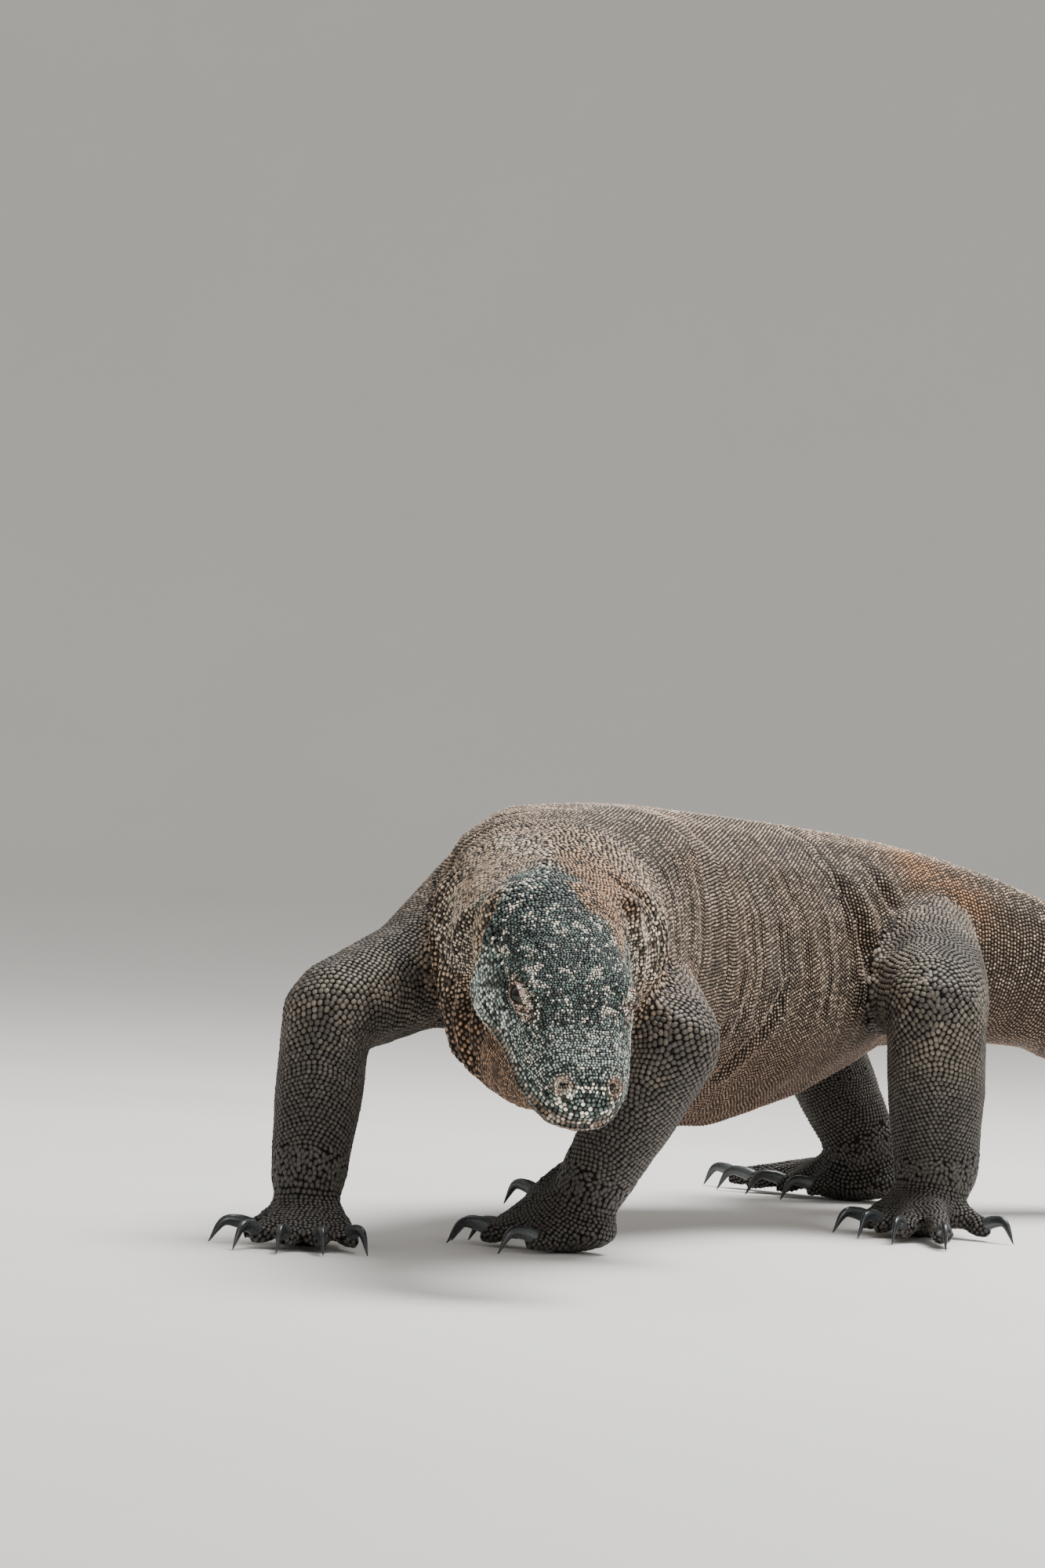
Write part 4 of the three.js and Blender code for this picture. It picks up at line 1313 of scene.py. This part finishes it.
def piece_names(around, seeds):
    """Which piece each scale belongs to."""
    part = seeds[:, -1].astype(int)
    names = np.full(len(seeds), "scales_head", dtype=object)
    names[(part == THROAT) | (part == CHEEK)] = "scales_throat"
    for leg in LEGS:
        names[(part == LEG[leg]) | (part == HAND[leg])] = "scales_" + leg
    trunk = np.flatnonzero(part == TRUNK)
    along, _, _ = around.spine.locate(seeds[trunk][:, PLACE])
    index = np.searchsorted([end * MM for _, end in TRUNK_PIECES[:-1]], along)
    names[trunk] = [TRUNK_PIECES[i][0] for i in index]
    return names


def eyeball_mesh(name, place, side):
    """An eyeball with a raised cornea. Each vertex keeps how far round from the gaze it is."""
    bm = bmesh.new()
    bmesh.ops.create_uvsphere(bm, u_segments=48, v_segments=36, radius=EYE_RADIUS * MM)
    for v in bm.verts:
        turned = v.co.angle(Vector((0, 0, 1)))
        v.co *= 1 + 0.07 * float(ease(turned, 0.75, 0.2))
    gaze = unit(0.86 * side * HEAD_SIDE + 0.42 * HEAD_UP + 0.3 * HEAD_AHEAD)
    turn = Vector(gaze).to_track_quat("Z", "Y").to_matrix().to_4x4()
    bmesh.ops.transform(bm, matrix=Matrix.Translation(place) @ turn, verts=bm.verts)
    mesh = mesh_from(bm, name)
    co, _ = arrays_of(mesh)
    away = co - place
    keep(mesh, "gaze", np.arccos(np.clip((away / np.linalg.norm(away, axis=1)[:, None]) @ gaze, -1, 1)))
    return mesh


def claw_line(node, hand):
    """Where a claw grows from its digit, its tip, and the level direction that it points in."""
    corners, _, _ = triangles_of([node])
    tree, _ = tree_of([hand])
    away = np.array([tree.find_nearest(co.tolist())[3] for co in corners])
    root = corners[np.argsort(away)[: max(4, len(corners) // 4)]].mean(0)
    tip = corners[np.argmax(np.linalg.norm((corners - root)[:, :2], axis=1))]
    ahead = unit((tip - root) * (1, 1, 0))
    return root, tip, ahead


def claw_mesh(name, root, tip, ahead, base):
    """A hooked claw, drawn ring by ring along a curve from inside the digit to its tip."""
    up = np.array([0.0, 0, 1])
    reach = (tip - root) @ ahead
    start = root - 9 * MM * ahead - 1 * MM * up
    arch = [start, root + 0.12 * reach * ahead + 3.5 * MM * up, root + 0.6 * reach * ahead + 3 * MM * up, tip]
    path = Axis(arch, up)
    bm = bmesh.new()
    layer = bm.verts.layers.float.new("along")
    verts = bmesh.ops.create_circle(bm, segments=14, radius=1)["verts"]
    edges = bm.edges[:]
    before = Matrix.Identity(4)
    for t in np.linspace(0, 1, 18):
        index = int(np.argmin(abs(path.length - t * path.length[-1])))
        size = base * (1 - 0.93 * t**1.5)
        sides = [path.side[index] * size * 0.74, path.up[index] * size, path.ahead[index] * MM]
        now = Matrix(np.column_stack(sides).tolist()).to_4x4()
        now.translation = Vector(path.points[index])
        if t > 0:
            made = bmesh.ops.extrude_edge_only(bm, edges=edges)["geom"]
            verts = [g for g in made if isinstance(g, bmesh.types.BMVert)]
            edges = [g for g in made if isinstance(g, bmesh.types.BMEdge)]
        bmesh.ops.transform(bm, matrix=now @ before.inverted(), verts=verts)
        for v in verts:
            v[layer] = t
        before = now
    bmesh.ops.holes_fill(bm, edges=bm.edges, sides=0)
    bmesh.ops.recalc_face_normals(bm, faces=bm.faces)
    return mesh_from(bm, name)


# ---------------------------------------------------------------- settings


def tint(name, description, value):
    return FloatVectorProperty(name=name, description=description, subtype="COLOR", size=3, min=0, max=1, default=value)


class DragonShape(bpy.types.PropertyGroup):
    """Sizes of the hide."""

    voxel: FloatProperty(
        name="Fineness",
        description="Size of the skin's faces before the head and feet are refined",
        default=0.0072,
        min=0.004,
        unit="LENGTH",
    )
    claw_base: FloatProperty(
        name="Claw thickness",
        description="Half the depth of a claw at its root",
        default=0.0072,
        unit="LENGTH",
    )


class DragonColours(bpy.types.PropertyGroup):
    """Colours of the hide, claws, eyes and floor."""

    body_grey: tint("Body grey", "Cooler ground colour of the trunk", (0.139, 0.109, 0.082))
    body_brown: tint("Body brown", "Warmer ground colour of the trunk", (0.172, 0.121, 0.082))
    body_pale: tint("Body pale", "Paler single scales of the trunk", (0.40, 0.30, 0.215))
    belly: tint("Belly", "Scales of the underside", (0.185, 0.118, 0.079))
    tail: tint("Tail", "Scales of the tail", (0.138, 0.095, 0.069))
    limb: tint("Leg", "Ground colour of the legs", (0.066, 0.054, 0.042))
    limb_pale: tint("Leg pale", "Paler scales of the legs", (0.165, 0.137, 0.103))
    hand: tint("Foot", "Scales of the feet", (0.050, 0.042, 0.035))
    nape: tint("Nape", "Cream scales of the nape and neck", (0.55, 0.395, 0.262))
    ochre: tint("Ochre", "Rust patches on the neck and hips", (0.40, 0.215, 0.108))
    head_dark: tint("Head dark", "Darker scales on top of the head", (0.042, 0.060, 0.053))
    head_teal: tint("Head teal", "Greener scales on top of the head", (0.150, 0.206, 0.186))
    cheek: tint("Cheek", "Blue-green scales of the cheeks", (0.51, 0.585, 0.53))
    throat: tint("Throat", "Brown scales under the head", (0.15, 0.085, 0.047))
    throat_pale: tint("Throat pale", "Paler scales under the head", (0.36, 0.215, 0.125))
    lip: tint("Lip", "Tan scales along the mouth", (0.17, 0.112, 0.074))
    rim: tint("Nostril rim", "Scales round the nostrils", (0.46, 0.31, 0.235))
    ring: tint("Eye ring", "Scales round the eyes", (0.62, 0.42, 0.33))
    # The fleck colour is also mixed into the neck's sides as painted light.
    fleck: tint("Fleck", "Cream flecks on top of the head", (0.78, 0.72, 0.60))
    claw_tip: tint("Claw", "Horn at the tip of a claw", (0.012, 0.014, 0.016))
    claw_root: tint("Claw root", "Horn at the root of a claw", (0.055, 0.066, 0.066))
    iris: tint("Iris", "Darker iris", (0.020, 0.010, 0.006))
    iris_pale: tint("Iris pale", "Fibres of the iris", (0.06, 0.03, 0.015))
    eye_white: tint("Eye white", "White of the eye", (0.12, 0.09, 0.07))
    floor: tint("Floor", "Studio floor", (0.77, 0.755, 0.73))


class DragonStage(bpy.types.PropertyGroup):
    """The camera and the studio light."""

    lens: FloatProperty(name="Lens", description="Focal length", default=126, unit="CAMERA")
    camera_turn: FloatProperty(
        name="Camera turn", description="How far left the camera looks", default=math.radians(35), unit="ROTATION"
    )
    camera_roll: FloatProperty(
        name="Camera roll", description="How far the camera leans", default=math.radians(2.8), unit="ROTATION"
    )
    key_power: FloatProperty(name="Key light", description="Power of the overhead light in watts", default=250)
    fill_power: FloatProperty(name="Fill light", description="Power of the front light in watts", default=60)
    sky: FloatProperty(name="Surroundings", description="Strength of the light from all round", default=0.62)


# ---------------------------------------------------------------- operators


def shared_markings():
    """The one group of markings, so that skin and scales always agree."""
    tree = bpy.data.node_groups.get("hide markings")
    return tree or markings_group(bpy.context.scene.dragon_colours)


class DRAGON_OT_skin(bpy.types.Operator):
    """Build the skin over all the solids of flesh"""

    bl_idname = "dragon.skin"
    bl_label = "Skin"

    def execute(self, context):
        mesh = build_skin(context.scene.dragon_shape)
        mesh.name = "skin"
        skin = placed("skin", mesh, hide_material("skin between the scales", shared_markings(), False))
        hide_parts(*FLESH)
        return {"FINISHED"}


class DRAGON_OT_scales(bpy.types.Operator):
    """Cover the skin with rows of scales"""

    bl_idname = "dragon.scales"
    bl_label = "Scales"

    def execute(self, context):
        skin = bpy.data.objects.get("skin")
        if not skin:
            raise RuntimeError("The scales grow on the skin, so the skin is built first")
        around = Surroundings()
        seeds = scale_seeds(around, skin.data)
        names = piece_names(around, seeds)
        material = hide_material("scales", shared_markings(), True)
        for name in sorted(set(names)):
            mine = seeds[names == name]
            sheet, x, y = unwrapped(around, mine[:, -1].astype(int), mine[:, PLACE], mine[:, NORMAL])
            mesh = scales_mesh(name, mine, laid_out(sheet, x, y))
            placed(name, mesh, material)
        return {"FINISHED"}


class DRAGON_OT_eyes(bpy.types.Operator):
    """Build the eyeballs"""

    bl_idname = "dragon.eyes"
    bl_label = "Eyes"

    def execute(self, context):
        material = eye_material(context.scene.dragon_colours)
        for (node, place), side in zip(EYES.items(), (-1, 1)):
            eye = placed(node.replace("eye", "eyeball"), eyeball_mesh(node, place, side), material)
            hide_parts(node)
        return {"FINISHED"}


class DRAGON_OT_claws(bpy.types.Operator):
    """Build the claws"""

    bl_idname = "dragon.claws"
    bl_label = "Claws"

    def execute(self, context):
        material = horn_material(context.scene.dragon_colours)
        for leg, parts in LEGS.items():
            for number in range(1, 6):
                node = f"claw_{number}_{leg}"
                line = claw_line(node, f"{parts[2]}_{leg}")
                mesh = claw_mesh(node, *line, context.scene.dragon_shape.claw_base)
                claw = placed(node + "_horn", mesh, material)
                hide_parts(node)
        return {"FINISHED"}


class DRAGON_OT_stage(bpy.types.Operator):
    """Build the floor, the lights and the camera"""

    bl_idname = "dragon.stage"
    bl_label = "Studio"

    def execute(self, context):
        settings = context.scene.dragon_stage
        bm = bmesh.new()
        start = bm.verts.new((0, 0, 0))
        geom = [start]
        turns = np.linspace(0, math.pi / 2, 9)
        cove = [(FLOOR_REACH + FLOOR_CURVE * math.sin(t), FLOOR_CURVE * (1 - math.cos(t))) for t in turns]
        for reach, height in [(FLOOR_REACH * 0.5, 0)] + cove + [(FLOOR_REACH + FLOOR_CURVE, 6)]:
            after = bm.verts.new((reach, 0, height))
            geom += [bm.edges.new((start, after)), after]
            start = after
        bmesh.ops.spin(bm, geom=geom, axis=(0, 0, 1), cent=(0, 0, 0), angle=2 * math.pi, steps=64, use_merge=True)
        bmesh.ops.remove_doubles(bm, verts=bm.verts, dist=1e-5)
        bmesh.ops.recalc_face_normals(bm, faces=bm.faces)
        mesh = mesh_from(bm, "floor")
        mesh.polygons.foreach_set("use_smooth", [True] * len(mesh.polygons))
        mesh.materials.append(floor_material(context.scene.dragon_colours))
        linked("floor", mesh)

        world = bpy.data.worlds.new("studio")
        world.use_nodes = True
        world.node_tree.nodes["Background"].inputs["Color"].default_value = (1.0, 0.985, 0.955, 1)
        world.node_tree.nodes["Background"].inputs["Strength"].default_value = settings.sky
        context.scene.world = world

        for name, place, size, power in (
            ("key", (0.6, 0.6, 3.2), 2.2, settings.key_power),
            ("fill", (3.4, -3.2, 2.0), 2.5, settings.fill_power),
        ):
            light = bpy.data.lights.new(name, "AREA")
            light.shape = "DISK"
            light.size = size
            light.energy = power
            lamp = linked(name, light)
            lamp.location = place
            lamp.rotation_euler = (Vector((0, -0.5, 0.2)) - Vector(place)).to_track_quat("-Z", "Y").to_euler()

        data = bpy.data.cameras.new("camera")
        data.lens = settings.lens
        data.sensor_width = 36
        data.clip_start, data.clip_end = 0.1, 100
        camera = linked("camera", data)
        look = Vector((-math.sin(settings.camera_turn), math.cos(settings.camera_turn), CAMERA_RISE)).normalized()
        right = Vector((math.cos(settings.camera_turn), math.sin(settings.camera_turn), 0))
        up = right.cross(look)
        lean = Matrix.Rotation(settings.camera_roll, 3, -look)
        axes = [lean @ right, lean @ up, -look]
        camera.matrix_world = Matrix.Translation(CAMERA_PLACE) @ Matrix(np.column_stack(axes).tolist()).to_4x4()
        context.scene.camera = camera
        return {"FINISHED"}


class DRAGON_PT_panel(bpy.types.Panel):
    """The pieces of the dragon"""

    bl_label = "Komodo dragon"
    bl_idname = "DRAGON_PT_panel"
    bl_space_type = "VIEW_3D"
    bl_region_type = "UI"
    bl_category = "Dragon"

    def draw(self, context):
        for operator in OPERATORS:
            self.layout.operator(operator.bl_idname)
        for group in SETTINGS:
            settings = getattr(context.scene, group)
            for name in settings.bl_rna.properties.keys():
                if name not in ("rna_type", "name"):
                    self.layout.prop(settings, name)


OPERATORS = (DRAGON_OT_skin, DRAGON_OT_scales, DRAGON_OT_eyes, DRAGON_OT_claws, DRAGON_OT_stage)
SETTINGS = {"dragon_shape": DragonShape, "dragon_colours": DragonColours, "dragon_stage": DragonStage}


def register():
    for cls in (*SETTINGS.values(), *OPERATORS, DRAGON_PT_panel):
        bpy.utils.register_class(cls)
    for name, cls in SETTINGS.items():
        setattr(bpy.types.Scene, name, PointerProperty(type=cls))


def unregister():
    for name in SETTINGS:
        delattr(bpy.types.Scene, name)
    for cls in reversed((*SETTINGS.values(), *OPERATORS, DRAGON_PT_panel)):
        bpy.utils.unregister_class(cls)


def main():
    register()
    bpy.ops.dragon.stage()
    bpy.ops.dragon.skin()
    bpy.ops.dragon.scales()
    bpy.ops.dragon.eyes()
    bpy.ops.dragon.claws()


if __name__ == "__main__":
    main()
